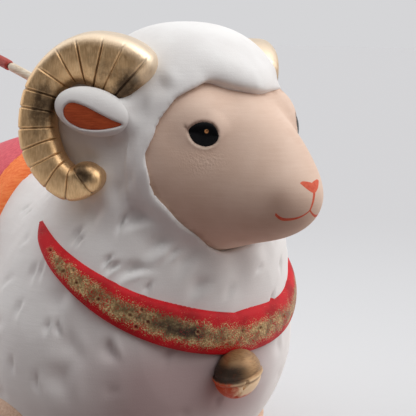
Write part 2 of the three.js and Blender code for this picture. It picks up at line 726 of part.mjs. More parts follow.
function makeForeleg(side) {
  const elbowX = flankX(FORE_ELBOW_Y, FORE_ELBOW_Z, FORE_ELBOW_RADIUS);
  return makeLeg(side, limbGeometry(
    [elbowX - FORE_TOE_IN, FORE_HOOF_Y, FORE_HOOF_Z], FORE_HOOF_RADIUS,
    [elbowX, FORE_ELBOW_Y, FORE_ELBOW_Z], FORE_ELBOW_RADIUS,
  ));
}

function makeHindLeg(side) {
  const hockX = flankX(HIND_HOCK_Y, HIND_HOCK_Z, HIND_HOCK_RADIUS);
  return makeLeg(side, limbGeometry(
    [hockX + HIND_TOE_OUT, HIND_HOOF_Y, HIND_HOOF_Z], HIND_HOOF_RADIUS,
    [hockX, HIND_HOCK_Y, HIND_HOCK_Z], HIND_HOCK_RADIUS,
  ));
}

function makeTail() {
  const from = new THREE.Vector3(0, RUMP_Y, TAIL_Z);
  const reach = reachOf(fleeceField, from, new THREE.Vector3(0, 1, 0), 0, widest);
  const geometry = ellipsoid(TAIL_HALF_WIDTH, TAIL_HALF_DEPTH, TAIL_HALF_HEIGHT, SMALL_SIDES)
    .translate(0, RUMP_Y + reach + TAIL_SINK, TAIL_Z);
  return solid(geometry).subtract(woolSeat);
}

function makeStick() {
  const shoulder = STICK_LENGTH - STICK_TIP_LENGTH;
  const plug = stickBar(STICK_PLUG_RADIUS, shoulder - STICK_TIP_PLUG, shoulder + STICK_TIP_PLUG);
  return solid(stickBar(STICK_RADIUS, SEAT_GAP, shoulder)).add(solid(plug));
}

function makeStickTip() {
  const shoulder = STICK_LENGTH - STICK_TIP_LENGTH;
  const socket = stickBar(
    STICK_PLUG_RADIUS + BORE_CLEARANCE, shoulder, shoulder + STICK_TIP_PLUG + SEAT_GAP,
  );
  return solid(stickBar(STICK_TIP_RADIUS, shoulder + SEAT_GAP, STICK_LENGTH)).subtract(solid(socket));
}

function paint(color, roughness, metalness = 0) {
  return new THREE.MeshStandardMaterial({ color, roughness, metalness });
}

const whiteBisque = paint(0xeceae8, 0.85);
const peachPaint = paint(0xe6c5ac, 0.75);
const goldPaint = paint(0xb08a4e, 0.4, 0.7);
const orangePaint = paint(0xc9582a, 0.7);
const blackGlaze = paint(0x101012, 0.15);
const redPaint = paint(0xbe1f2a, 0.55);
const pinkPaint = paint(0xd8606c, 0.7);
const borderPaint = paint(0xec7c42, 0.7);
const paleWood = paint(0xe3d8c6, 0.7);

function toMesh(name, piece, material) {
  const { vertProperties, triVerts } = piece.getMesh();
  const geometry = new THREE.BufferGeometry();
  geometry.setAttribute('position', new THREE.BufferAttribute(vertProperties.slice(), 3));
  geometry.setIndex(new THREE.BufferAttribute(triVerts.slice(), 1));
  geometry.computeVertexNormals();
  const mesh = new THREE.Mesh(geometry, material);
  mesh.name = name;
  return mesh;
}

const figurine = new THREE.Group();
figurine.add(toMesh('fleece', makeFleece(), whiteBisque));
figurine.add(toMesh('face', makeFace(), peachPaint));
for (const [word, side] of [['right', -1], ['left', 1]]) {
  const eye = eyeGeometry(0);
  figurine.add(toMesh(`${word}_eye`, solid(side > 0 ? eye : mirrored(eye)), blackGlaze));
  figurine.add(toMesh(`${word}_horn`, makeHorn(side), goldPaint));
  figurine.add(toMesh(`${word}_ear`, makeEar(side), whiteBisque));
  figurine.add(toMesh(`${word}_ear_lining`, makeLining(side), orangePaint));
  figurine.add(toMesh(`${word}_foreleg`, makeForeleg(side), peachPaint));
  figurine.add(toMesh(`${word}_hind_leg`, makeHindLeg(side), peachPaint));
}
figurine.add(toMesh('collar', makeCollar(), redPaint));
figurine.add(toMesh('bell', makeBell(), goldPaint));
for (const [name, piece] of Object.entries(makeSaddle())) {
  figurine.add(toMesh(name, piece, name.includes('field') ? pinkPaint : borderPaint));
}
figurine.add(toMesh('tail', makeTail(), whiteBisque));

const stick = new THREE.Group();
stick.add(toMesh('back_stick', makeStick(), paleWood));
stick.add(toMesh('stick_tip', makeStickTip(), redPaint));
figurine.add(stick);

export default figurine;
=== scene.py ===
import math

import bpy
import numpy as np
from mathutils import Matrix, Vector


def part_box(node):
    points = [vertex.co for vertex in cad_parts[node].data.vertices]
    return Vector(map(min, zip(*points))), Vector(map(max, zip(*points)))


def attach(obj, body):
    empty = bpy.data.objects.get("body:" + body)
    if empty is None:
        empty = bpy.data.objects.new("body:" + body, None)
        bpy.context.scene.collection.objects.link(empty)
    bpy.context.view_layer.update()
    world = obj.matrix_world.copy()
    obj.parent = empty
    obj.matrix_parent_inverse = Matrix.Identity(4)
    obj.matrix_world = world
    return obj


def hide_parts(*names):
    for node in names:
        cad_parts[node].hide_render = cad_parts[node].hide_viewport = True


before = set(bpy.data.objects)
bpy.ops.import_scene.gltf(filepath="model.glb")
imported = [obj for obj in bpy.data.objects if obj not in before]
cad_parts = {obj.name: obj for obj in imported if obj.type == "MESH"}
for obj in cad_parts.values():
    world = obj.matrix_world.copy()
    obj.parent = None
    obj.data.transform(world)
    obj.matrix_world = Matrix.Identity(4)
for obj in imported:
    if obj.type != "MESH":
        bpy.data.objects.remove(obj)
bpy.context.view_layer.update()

# A painted bisque sheep. Lengths are millimetres until a mesh is made, in the same frame as the solids.
MM = 0.001
TINY = 1e-9
FAR = 9.0
SIDES = {"right": -1, "left": 1}

# Wool: centre and half size of each mass, and how far neighbours melt together
CHEST = ((0, -18.8, 35.4), (46.1, 35, 41.2))
RUMP = ((0, 22, 40), (41, 38, 43.5))
NECK = ((0, -29.5, 63), (33, 25, 27))
CROWN = ((0, -36.7, 91.6), (23.9, 25.4, 25.5))
CROWN_FULLNESS = 2.25
CHEEK = ((13, -32.5, 84), (16, 20.5, 19))
PAD_HALF = (10, 6, 12)
PAD_BACK = 2.5
BODY_BLEND = 16
NECK_BLEND = 14
HEAD_BLEND = 9
CHEEK_BLEND = 10
PAD_BLEND = 6

# Casting: wall, floor, top of the hollow and the pour hole
WALL = 5
FLOOR = 4.5
HOLLOW_TOP = 54
POUR_RADIUS = 8
POUR_Y = 20
BASE_ROUND = 3

# Face: its masses, and the edge of the wool round it (X, Z)
SKULL = ((0, -43.9, 84.5), (25.6, 20.3, 24.4))
MUZZLE = ((0, -67.4, 76.9), (10.4, 12.8, 9.9))
BRIDGE = ((0, -59.4, 85.1), (7, 11.8, 9.5))
BROW = (12.4, -54.8, 94.2)
BROW_RADIUS = 4.7
MUZZLE_BLEND = 16
BRIDGE_BLEND = 10
BROW_BLEND = 6
FACE_BACK_Y = -40
FACE_EDGE = [
    (0, 100.4), (4.5, 100), (9, 99.9), (13.5, 100.3), (17.2, 99.5), (21, 96.8), (23.8, 92.2),
    (25, 87), (24.6, 82), (22.7, 77.1), (18.9, 72.2), (13.6, 67.7), (7.8, 63.6), (0, 61.2),
    (-7.8, 63.6), (-13.6, 67.7), (-18.7, 72.2), (-22.4, 77.1), (-24.1, 82), (-24.5, 86.4), (-23.3, 91.3),
    (-21.1, 95.8), (-18.1, 99.8), (-13.2, 102.4), (-9.8, 103.4), (-5, 101.6),
]
FACE_TUCK = 1.2
FACE_EDGE_ROUND = 0.6
# The wool swells up from the face at its edge, most in the middle of the fringe (X, height)
FRINGE_HEIGHT = ((-24, 1.5), (-12, 2.2), (-7, 3.0), (0, 3.2), (6, 2.2), (10, 1.3), (13, 0.6), (18, 0.1))
FRINGE_RUN = 6
FRINGE_ROUND = 6
FRINGE_Z = (90, 99)
FRINGE_BLEND = 4
FRINGE_BLEND_X = (11, 3)
SIDE_HEIGHT = ((-10, 1.6), (10, 0.6))
SIDE_RUN = 3.2
SIDE_ROUND = 2.4
THROAT_HEIGHT = 0.8
THROAT_Z = (74, 64)
LIP_BLEND = 2
LIP_ROUND = 2
LIP_FALL = 1.5
LIP_LOWEST = -3
WOOL_FRONT_Y = (-41, -46)
BEHIND_FACE = 30
EDGE_WAVE = 0.4
EDGE_WAVE_SIZE = 7
EDGE_SHIFT = 0.45
EDGE_SHIFT_Z = (63, 71)
TEMPLE_COVER = 0.7
TEMPLE_X = (-5, -12)
TEMPLE_Z = (85, 92)

# Horn: an oval curl in an upright plane turned out from the head
HORN_YAW = math.radians(50.3)
HORN_CENTRE = np.array([27.7, -33.6, 94.0])
HORN_OUT = np.array([math.cos(HORN_YAW), math.sin(HORN_YAW), 0])
HORN_FORWARD = np.array([math.sin(HORN_YAW), -math.cos(HORN_YAW), 0])
UP = np.array([0, 0, 1.0])
HORN_HALF_REACH = 11.8
HORN_HALF_HEIGHT = 14.8
HORN_START = math.radians(155)
HORN_END = math.radians(-105)
HORN_FLARE = 0.22
HORN_FLARE_RUN = 0.2
HORN_ROOT_RADIUS = 8
HORN_TIP_RADIUS = 4.5
HORN_ROOT_SINK = 1
HORN_TIP_FORWARD = 6.5
HORN_FORWARD_POWER = 1.3
HORN_TAPER_START = 0.06
HORN_TAPER_END = 0.46
HORN_ROOT_ROUND = 4
HORN_TIP_ROUND = 3.6
HORN_DROP = 0.5
HORN_TIP_LIFT = 4.6
HORN_LIFT_START = 0.85
HORN_TIP_SLIM = 0.12
HORN_SLIM_START = 0.65
HORN_WOBBLE = 0.16
HORN_WOBBLE_SIZE = 5
HORN_RINGS = 560
HORN_SIDES = 64
# Squareness of the horn's outer and inner half
HORN_SQUARE = (4.2, 2.6)
HORN_GROOVES = 14
GROOVE_DEPTH = 0.42
GROOVE_HALF_WIDTH = 0.36
# Up to a share of the length, grooves stop short of the outer edge
GROOVE_SHORT_RUN = 0.45
GROOVE_STOPS = (-0.62, -0.98)
# Dull paint along the horn, which also sets how strong the painted shade on its front face is: share of
# its length, width and strength
HORN_DULL = 0.12
HORN_DULL_BANDS = [(0.055, 0.045, 0.95), (0.17, 0.06, 0.35), (0.52, 0.1, 0.75), (0.955, 0.035, 0.85)]

# The left horn and ear sit a little further in, further back and lower than the right ones
LEFT_SET = np.array([-1.7, 1.3, -2.1])

# Ear: an oval leaf in the horn's plane, and the outline of its painted hollow (along, across)
EAR_OUT = -1.9
EAR_UP = 2.4
EAR_FORWARD = 6.4
EAR_TILT = math.radians(14)
EAR_HALF = (9, 5.6, 3.4)
EAR_REACH = (13, 9, 7)
EAR_SINK = 1.7
EAR_ROOT_SINK = 0.5
EAR_ROOT_RUN = (1, -6.5)
EAR_ROOT_RIM = (0.3, 3)
EAR_FILLET = 2
EAR_ROOT_FILLET = 4.5
EAR_FILLET_RUN = (-2, -7)
EAR_SCOOP = 0.4
EAR_RIM_ROUND = 0.9
LINING_EDGE = [
    (6.2, -1.1), (5.5, 0.5), (4, 1.2), (0.9, 1), (-2.9, 0.1), (-5.6, -0.55), (-7.6, -1.1),
    (-4.8, -2.7), (-1.8, -3.7), (1.3, -4.1), (4.05, -3.6), (5.6, -2.6),
]
LINING_RECESS = 0.7
LINING_CURL = 0.25
LINING_EDGE_DEPTH = 0.9
LINING_DEPTH = 1.2

# Eye: outline on the face, along towards the nose and up from its middle
EYE_X = 15.6
EYE_Z = 91.5
EYE_TURN = math.radians(8)
EYE_OUTLINE = [
    (-3.6, 1.0), (-2.1, 2.35), (0, 2.85), (2.0, 2.2), (3.1, 0.4),
    (3.2, -0.8), (2.3, -2.1), (0.4, -2.75), (-1.7, -2.2), (-3.05, -0.85),
]
EYE_DOME = 0.6
EYE_EDGE_SINK = 0.15
EYE_SEAT = 0.35
EYE_DEPTH = 1.2
EYE_RINGS = 14
EYE_REACH = 8
CATCHLIGHT = (0.5, 0.75)
LID_RISE = 0.16
# Crease from the outer corner of the eye: its direction, length, half width and depth
CREASE_WAY = np.array([-0.69, 0.72])
CREASE_LENGTH = 1.3
CREASE_HALF_WIDTH = 0.32
CREASE_DEPTH = 0.22
CRINKLE_REACH = 12

# Nose and mouth paint, seen from the front: half width and height
HEART_X = 0.4
HEART_NOTCH_Z = 80.65
HEART_PEAK = (2.4, 81.3)
HEART_CORNER = (3.4, 80.9)
HEART_BOTTOM_Z = 78.4
MOUTH_X = -0.7
MOUTH_Z = 74.55
SMILE_LOW = (4.8, 72.6)
SMILE_END = (7.0, 74.1)
SMILE_HALF_WIDTH = 0.24
SMILE_SWELL = 0.12
STEM_HALF_WIDTH = 0.26
STEM_SPREAD = 0.04
PAINT_BACK_Y = -70

# Painted shade in soft hollows of the face, beside the mouth and round the eye: place in the picture,
# reach and strength
FACE_SHADES = [((278, 201), 3.2, 0.4), ((236, 140), 4, 0.14), ((214, 150), 3, 0.14)]

# Collar: edges in the side view (Y, Z), each through the tip, a middle and a front point, and how much
# lower it hangs on the left for each millimetre from the middle
COLLAR_TIP = (-19.4, 65.7)
COLLAR_PINCH = 0.25
COLLAR_PINCH_REACH = 6
COLLAR_TIP_NEAR = 0.5
COLLAR_THIN = 0.12
COLLAR_THIN_REACH = 9
COLLAR_ROUND = (0.15, 0.7)
COLLAR_ROUND_RUN = (1, 9)
COLLAR_TOP = ((-38, 56.7), (-56, 45.5))
COLLAR_LOW = ((-38, 48.6), (-54, 35.7))
COLLAR_HANG = 0.115
COLLAR_SAG = 0.6
COLLAR_SAG_Y = -29
COLLAR_SAG_REACH = 5.5
SEAT_GAP = 0.3
COLLAR_RELIEF = 1.4
COLLAR_EDGE = 0.3
COLLAR_CROWN = 2.8
COLLAR_SINK = 0.9
COLLAR_DIP = 0.7
COLLAR_DIP_REACH = 4
# Pits pressed in the collar, as pixels of the picture
SEEN_PITS = [
    (50, 250), (63, 271), (73, 270), (76, 283), (98, 299), (130, 315), (136, 327), (148, 322), (142, 310),
    (198, 332), (243, 331), (261, 328), (284, 316),
]
PIT_RADIUS = 0.42
PIT_DEPTH = 0.55
PIT_RIM = 0.12

# Bell: half sizes along its own axes, and the rows of its ridge (height, width, rise)
BELL_RADIUS = 5.9
BELL_Z = 31.2
BELL_X = -1.5
BELL_SINK = 2.2
BELL_ROLL = math.radians(14)
BELL_HALF = (6.4, 5.6, 5.9)
BELL_LONG = (0.53, -0.33, 0.78)
BELL_FACING = (-0.68, -0.73, 0)
BELL_RIDGE = [(0, 0.42, 0.38), (0.95, 0.35, -0.22), (-0.95, 0.35, -0.15)]
BELL_HOLE_PIXEL = (247, 383)
BELL_SLOT_PIXEL = (236, 397)
BELL_SLOT_RUN = 1.4

# Saddle cloth
SADDLE_FRONT_Y = 4
SADDLE_FRONT_LEAN = 0.33
SADDLE_LEAN_Z = 65
SADDLE_REAR_Y = 47
SADDLE_HEM_Z = 46
SADDLE_BORDER = 5
SADDLE_RELIEF = 1.3
SADDLE_BORDER_RELIEF = 1.42
SADDLE_HEM_RELIEF = 1.4
SADDLE_WAVE = 0.12
SADDLE_WAVE_SIZE = 7
SADDLE_ROUND = 0.7
SADDLE_SINK = 0.8
SADDLE_TUCK = 0.5
SPINE_BAND_WIDTH = 4
SPINE_BAND_RELIEF = 1.7
SPINE_BAND_LOW_Z = 70

# Folded legs: hoof and upper end (Y, Z, radius), and how far the hoof turns from the flank
LEG_SINK = 3
FORE_HOOF = (-26, 6.5, 7.2)
FORE_ELBOW = (3, 11, 9.3)
SHOULDER = (36.0, -17, 19.5)
SHOULDER_RADIUS = 10
SHOULDER_BLEND = 3
FORE_TOE_IN = 7
HIND_HOOF = (21, 6.5, 7)
HIND_HOCK = (42, 10, 9.5)
HIND_TOE_OUT = 6
# Narrowing above the hoof: share of the leg, width and depth
ANKLE = (0.3, 0.12, 0.9)
CLEFT_DEPTH = 0.9
CLEFT_HALF_WIDTH = 0.55
HOOF_LINE = 0.35
LEG_ROUND = 1.2
LEG_BURY = 1.2

# Tail
TAIL_HALF = (7, 6, 10)
TAIL_Z = 36
TAIL_SINK = 1.5
TAIL_WAVE = 0.25
TAIL_WAVE_SIZE = 4
TAIL_TRIM = 0.25
TAIL_BURY = 1.5
TAIL_MARKS = 14

# Stick
STICK_RADIUS = 1.3
STICK_TIP_RADIUS = 1.55
STICK_RISE = math.radians(15.7)
STICK_PASS = np.array([0, 33.7, 101.7])
STICK_SEAT_DEPTH = 10
STICK_LENGTH = 79
STICK_TIP_LENGTH = 15
BORE_CLEARANCE = 0.25
STICK_RINGS = 60
STICK_SIDES = 28
STICK_END_NARROW = 0.35

# Camera: where it looks, from which side, how far and how wide
LOOK_AT = np.array([0, -45, 71.0])
LOOK_AZIMUTH = math.radians(-43)
LOOK_ELEVATION = math.radians(9)
LOOK_DISTANCE = 294.9
LOOK_FIELD = math.radians(20)
PICTURE = 416

look_back = np.array([
    math.sin(LOOK_AZIMUTH) * math.cos(LOOK_ELEVATION),
    -math.cos(LOOK_AZIMUTH) * math.cos(LOOK_ELEVATION),
    math.sin(LOOK_ELEVATION),
])
look_from = LOOK_AT + look_back * LOOK_DISTANCE
look_right = np.cross(-look_back, UP)
look_right /= np.linalg.norm(look_right)
look_up = np.cross(look_right, -look_back)


def size_of(v):
    return np.linalg.norm(v, axis=-1)


def smooth(value, low, high):
    share = np.clip((value - low) / (high - low), 0, 1)
    return share * share * (3 - 2 * share)


def fade(first, second, share):
    return first + (second - first) * share


def hill(value, middle, width):
    """1 at the middle, falling away on both sides over a width."""
    return np.exp(-((value - middle) / width) ** 2)


def round_end(distance, rounding):
    """Share of the full height at a distance from a rounded end."""
    return np.sqrt(1 - (1 - np.clip(distance / rounding, 0, 1)) ** 2)


def in_axes(p, middle, axes):
    """Coordinates of points along three directions from a middle."""
    return (p - middle) @ np.transpose(axes)


def from_axes(flat, middle, axes):
    """Points at coordinates along three directions from a middle."""
    return middle + flat @ np.array(axes)


def ellipsoid(p, half, fullness=2):
    """Signed distance to an ellipsoid about the origin, close to true near its surface."""
    half = np.asarray(half, float)
    share = np.abs(p) / half
    near = (share ** fullness).sum(-1) ** (1 / fullness)
    slope = size_of(share ** (fullness - 1) / half)
    return near ** (fullness - 1) * (near - 1) / np.maximum(slope, TINY)


def mass(p, part, fullness=2):
    centre, half = part
    return ellipsoid(p - np.asarray(centre, float), half, fullness)


def blend(first, second, reach):
    """Two forms melted together over a reach."""
    share = np.clip(0.5 + 0.5 * (second - first) / reach, 0, 1)
    return second * (1 - share) + first * share - reach * share * (1 - share)


def carve(first, second, reach):
    """What two forms share, with its edge rounded over a reach."""
    return -blend(-first, -second, reach)


def fold(p):
    return np.column_stack([np.abs(p[:, 0]), p[:, 1], p[:, 2]])


def waves(p, size, seed, count=14):
    """Smooth random relief, mostly between -1 and 1, with bumps of about a size."""
    draw = np.random.default_rng(seed)
    total = np.zeros(len(p))
    for _ in range(count):
        direction = draw.normal(size=3)
        direction *= draw.uniform(0.6, 1.3) * math.pi / size / np.linalg.norm(direction)
        total += np.sin(p @ direction + draw.uniform(0, 2 * math.pi))
    return total * math.sqrt(2 / count) / 2


def gradient(field, p):
    step = 0.02
    columns = []
    for axis in range(3):
        shift = np.zeros(3)
        shift[axis] = step
        columns.append((field(p + shift) - field(p - shift)) / (2 * step))
    return np.column_stack(columns)


def reach_of(field, start, direction, farthest):
    """Distance from inside a form along a direction to its surface."""
    inner = 0.0
    outer = farthest
    for _ in range(40):
        middle = (inner + outer) / 2
        if field((start + direction * middle)[None])[0] < 0:
            inner = middle
        else:
            outer = middle
    return (inner + outer) / 2


def seen_point(field, pixel):
    """The point of a form that a pixel of the picture shows, or the nearest its line of sight comes."""
    half = math.tan(LOOK_FIELD / 2)
    across = (pixel[0] / PICTURE * 2 - 1) * half
    upward = (1 - pixel[1] / PICTURE * 2) * half
    ray = look_right * across + look_up * upward - look_back
    ray /= np.linalg.norm(ray)
    steps = np.arange(0.6 * LOOK_DISTANCE, 1.5 * LOOK_DISTANCE, 0.1)
    values = field(look_from + ray * steps[:, None])
    inside = np.flatnonzero(values < 0)
    first = inside[0] if len(inside) else np.argmin(values)
    return look_from + ray * steps[first]


def graded(*stops):
    """Grid lines between stops, each stretch with its own spacing: place, spacing, place, ..."""
    lines = []
    coarse = 1.0
    for i in range(0, len(stops) - 2, 2):
        low, spacing, high = stops[i:i + 3]
        count = max(1, round((high - low) / spacing / coarse))
        lines.append(np.linspace(low, high, count + 1)[:-1])
    return np.concatenate([*lines, [stops[-1]]])


def surface_net(field, xs, ys, zs):
    """Quads over the zero surface of a field on a grid, settled onto the surface."""
    axes = (xs, ys, zs)
    shape = tuple(len(a) for a in axes)
    grid = np.stack(np.meshgrid(*axes, indexing="ij"), axis=-1)
    value = field(grid.reshape(-1, 3)).reshape(shape)
    inside = value < 0
    cells = np.array(shape) - 1
    stride = np.array([cells[1] * cells[2], cells[2], 1])
    owners = []
    places = []
    quads = []
    for axis in range(3):
        second, third = (axis + 1) % 3, (axis + 2) % 3
        low = [slice(None)] * 3
        high = [slice(None)] * 3
        low[axis] = slice(None, -1)
        high[axis] = slice(1, None)
        low, high = tuple(low), tuple(high)
        edge = np.argwhere(inside[low] != inside[high])
        start = value[low][tuple(edge.T)]
        finish = value[high][tuple(edge.T)]
        place = np.column_stack([axes[k][edge[:, k]] for k in range(3)])
        span = axes[axis][edge[:, axis] + 1] - axes[axis][edge[:, axis]]
        place[:, axis] += span * start / (start - finish)
        corners = []
        for down, left in ((1, 1), (0, 1), (0, 0), (1, 0)):
            cell = edge.copy()
            cell[:, second] -= down
            cell[:, third] -= left
            good = np.all((cell >= 0) & (cell < cells), axis=1)
            number = cell @ stride
            owners.append(number[good])
            places.append(place[good])
            corners.append(np.where(good, number, -1))
        quad = np.column_stack(corners)
        quad[start > 0] = quad[start > 0][:, ::-1]
        quads.append(quad[np.all(quad >= 0, axis=1)])
    owners = np.concatenate(owners)
    places = np.concatenate(places)
    active, index = np.unique(owners, return_inverse=True)
    count = np.bincount(index)
    verts = np.column_stack([np.bincount(index, places[:, k]) / count for k in range(3)])
    faces = np.searchsorted(active, np.concatenate(quads))
    for _ in range(3):
        slope = gradient(field, verts)
        verts -= slope * (field(verts) / np.maximum((slope ** 2).sum(1), 0.25))[:, None]
    return verts, faces


def grid_round(low, high, spacing, before, after):
    """Grid lines over a box, with some room before and after it."""
    return [graded(low[k] - before, spacing, high[k] + after) for k in range(3)]


def solid_box(node):
    """Corners of a solid in millimetres."""
    low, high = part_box(node)
    return np.array(low) / MM, np.array(high) / MM


def ring_faces(rings, count):
    """Quads round rings of points laid one after another."""
    ring, place = np.meshgrid(np.arange(rings - 1), np.arange(count), indexing="ij")
    after = (place + 1) % count
    low = ring * count
    high = low + count
    quads = np.stack([low + place, low + after, high + after, high + place], axis=-1)
    return quads.reshape(-1, 4).tolist()


def capped_faces(rings, count):
    """Quads round rings of points, closed by fans to the two points that follow them."""
    faces = ring_faces(rings, count)
    start, end = rings * count, rings * count + 1
    last = (rings - 1) * count
    for i in range(count):
        after = (i + 1) % count
        faces.append([start, after, i])
        faces.append([end, last + i, last + after])
    return faces


def flipped(faces):
    return [face[::-1] for face in faces]


def mirrored(verts, faces):
    return verts * np.array([-1, 1, 1]), flipped(faces)


def for_side(side, verts, faces):
    return (verts, faces) if side > 0 else mirrored(verts, faces)


def set_on_side(side, verts, faces):
    """A left horn or ear put in its seat on one side of the head."""
    return (verts + LEFT_SET, faces) if side > 0 else mirrored(verts, faces)


def add_piece(name, verts, faces, look, node, body="figurine", **attributes):
    mesh = bpy.data.meshes.new(name)
    mesh.from_pydata((verts * MM).tolist(), [], [list(face) for face in faces])
    for key, values in attributes.items():
        layer = mesh.attributes.new(key, "FLOAT", "POINT")
        layer.data.foreach_set("value", np.asarray(values, np.float32))
    mesh.update()
    mesh.shade_smooth()
    piece = bpy.data.objects.new(name, mesh)
    bpy.context.scene.collection.objects.link(piece)
    mesh.materials.append(look)
    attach(piece, body)
    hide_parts(node)
    return piece


# Materials

def paint(red, green, blue):
    """A colour from its 0 to 255 screen values."""
    values = []
    for value in (red, green, blue):
        share = value / 255
        values.append(share / 12.92 if share <= 0.04045 else ((share + 0.055) / 1.055) ** 2.4)
    return (*values, 1)


class Nodes:
    """Steps of a node tree."""

    def __init__(self, tree):
        self.nodes = tree.nodes
        self.links = tree.links

    def node(self, kind, *inputs, **settings):
        made = self.nodes.new("ShaderNode" + kind)
        for key, value in settings.items():
            setattr(made, key, value)
        for key, value in inputs:
            if isinstance(value, bpy.types.NodeSocket):
                self.links.new(value, made.inputs[key])
            else:
                made.inputs[key].default_value = value
        return made

    def dot(self, first, second):
        made = self.node("VectorMath", (0, first), (1, second), operation="DOT_PRODUCT")
        return made.outputs["Value"]

    def math(self, operation, first, second=0.0):
        return self.node("Math", (0, first), (1, second), operation=operation).outputs[0]

    def times(self, first, second):
        return self.math("MULTIPLY", first, second)

    def plus(self, first, second):
        return self.math("ADD", first, second)

    def larger(self, first, second):
        return self.math("MAXIMUM", first, second)

    def between(self, value, low, high, out_low=0.0, out_high=1.0):
        return self.node(
            "MapRange", ("Value", value), ("From Min", low), ("From Max", high),
            ("To Min", out_low), ("To Max", out_high), interpolation_type="SMOOTHSTEP",
        ).outputs[0]

    def mix(self, share, first, second):
        return self.node("Mix", (0, share), (6, first), (7, second), data_type="RGBA").outputs[2]


class Look(Nodes):
    """A material built up step by step. Sizes are millimetres on the object."""

    def __init__(self, name, roughness, metallic=0.0, specular=0.5):
        self.material = bpy.data.materials.new(name)
        self.material.use_nodes = True
        super().__init__(self.material.node_tree)
        self.shader = self.nodes["Principled BSDF"]
        self.shader.inputs["Roughness"].default_value = roughness
        self.shader.inputs["Metallic"].default_value = metallic
        self.shader.inputs["Specular IOR Level"].default_value = specular
        self.normal = None

    def place(self, stretch=(1, 1, 1)):
        spot = self.node("TexCoord").outputs["Object"]
        scale = tuple(1 / (MM * s) for s in stretch)
        return self.node("VectorMath", (0, spot), (1, scale), operation="MULTIPLY").outputs[0]

    def noise(self, size, detail=2.0, roughness=0.5, stretch=(1, 1, 1)):
        return self.node(
            "TexNoise", ("Vector", self.place(stretch)), ("Scale", 1 / size), ("Detail", detail),
            ("Roughness", roughness),
        ).outputs["Fac"]

    def attribute(self, name):
        return self.node("Attribute", attribute_name=name).outputs["Fac"]

    def mottle(self, size, detail, low, high, first, second, most=1.0):
        """Two colours mixed by noise of a size."""
        return self.mix(self.between(self.noise(size, detail), low, high, 0, most), first, second)

    def stain(self, tone, name, strength, colour):
        """A tone painted over as far as an attribute says."""
        return self.mix(self.times(self.attribute(name), strength), tone, colour)

    def drive(self, socket, value):
        self.links.new(value, self.shader.inputs[socket])

    def colour(self, value):
        self.drive("Base Color", value)

    def bump(self, height, depth):
        made = self.node("Bump", ("Strength", 1.0), ("Distance", depth * MM), ("Height", height))
        if self.normal is not None:
            self.links.new(self.normal, made.inputs["Normal"])
        self.normal = made.outputs["Normal"]
        self.drive("Normal", self.normal)


def bisque(look, grain=0.035):
    """Fine grain of unglazed clay and the drag of a broad brush."""
    look.bump(look.noise(0.35, 3.0, 0.6), grain)
    look.bump(look.noise(1.2, 2.0, 0.5, stretch=(5, 5, 0.6)), grain)


def wool_look():
    look = Look("white bisque", 0.85, specular=0.2)
    tone = look.mottle(9, 3.0, 0.35, 0.7, paint(236, 235, 234), paint(230, 228, 227))
    grey = look.times(look.between(look.noise(1.4, 4.0, 0.7), 0.62, 0.8), 0.3)
    tone = look.mix(grey, tone, paint(216, 212, 210))
    near = look.between(look.attribute("off_face"), 0.4, 0.05)
    line = look.times(near, look.between(look.noise(2.5), 0.38, 0.6))
    line = look.times(line, look.attribute("tan_line"))
    tone = look.mix(look.times(line, 0.25), tone, paint(196, 150, 116))
    # The lower chest is darkened and tinted pink: painted shade with a painted reflection of light from
    # below
    look.colour(look.stain(tone, "pink_wash", 0.9, paint(168, 144, 144)))
    bisque(look)
    return look.material


def face_look():
    look = Look("peach paint", 0.68, specular=0.25)
    tone = look.mottle(7, 3.0, 0.3, 0.7, paint(226, 199, 181), paint(219, 190, 171))
    stroke = look.noise(0.7, 3.0, 0.6, stretch=(9, 9, 0.7))
    tone = look.mix(look.between(stroke, 0.4, 0.75, 0, 0.25), tone, paint(234, 211, 195))
    # Painted shade along the upper rim of the eye and in its crease, and a painted highlight on the lower
    # lid
    tone = look.stain(tone, "lid_dark", 0.75, paint(112, 80, 66))
    tone = look.stain(tone, "lid_light", 0.7, paint(244, 226, 206))
    # Painted shade in the face's hollows beside the mouth and round the eye
    tone = look.mix(look.attribute("shade"), tone, paint(150, 112, 94))
    edge = look.between(look.attribute("edge"), -0.7, -0.1, 0, 0.3)
    edge = look.times(edge, look.between(look.noise(3), 0.35, 0.65))
    tone = look.mix(edge, tone, paint(150, 104, 74))
    coral = look.mottle(0.8, 3.0, 0.35, 0.7, paint(224, 106, 78), paint(212, 86, 62))
    drawn = look.between(look.attribute("nose"), -0.04, 0.1)
    for line in ("smile", "stem"):
        offset = look.math("ABSOLUTE", look.attribute(line))
        inside = look.math("SUBTRACT", look.attribute(f"{line}_half"), offset)
        drawn = look.larger(drawn, look.between(inside, -0.05, 0.07))
    look.colour(look.mix(drawn, tone, coral))
    bisque(look, 0.03)
    look.bump(look.times(look.noise(0.55), look.attribute("crinkle")), 0.2)
    return look.material


def eye_look():
    look = Look("black gloss", 0.22, specular=0.1)
    tone = look.mottle(1.5, 2.0, 0.4, 0.7, paint(8, 8, 9), paint(16, 15, 17))
    along = look.attribute("eye_along")
    up = look.attribute("eye_up")

    def squared(value, middle):
        return look.math("POWER", look.math("ABSOLUTE", look.math("SUBTRACT", value, middle)), 2.0)

    def spot(x, y, radius):
        far = look.math("SQRT", look.plus(squared(along, x), squared(up, y)))
        return look.between(far, radius + 0.12, radius - 0.12)

    x, y = CATCHLIGHT
    tone = look.mix(spot(x, y, 0.45), tone, paint(196, 138, 90))
    look.colour(look.mix(spot(x + 0.12, y + 0.12, 0.2), tone, paint(70, 34, 14)))
    look.drive("Roughness", look.between(look.noise(2.0), 0.3, 0.7, 0.14, 0.26))
    return look.material


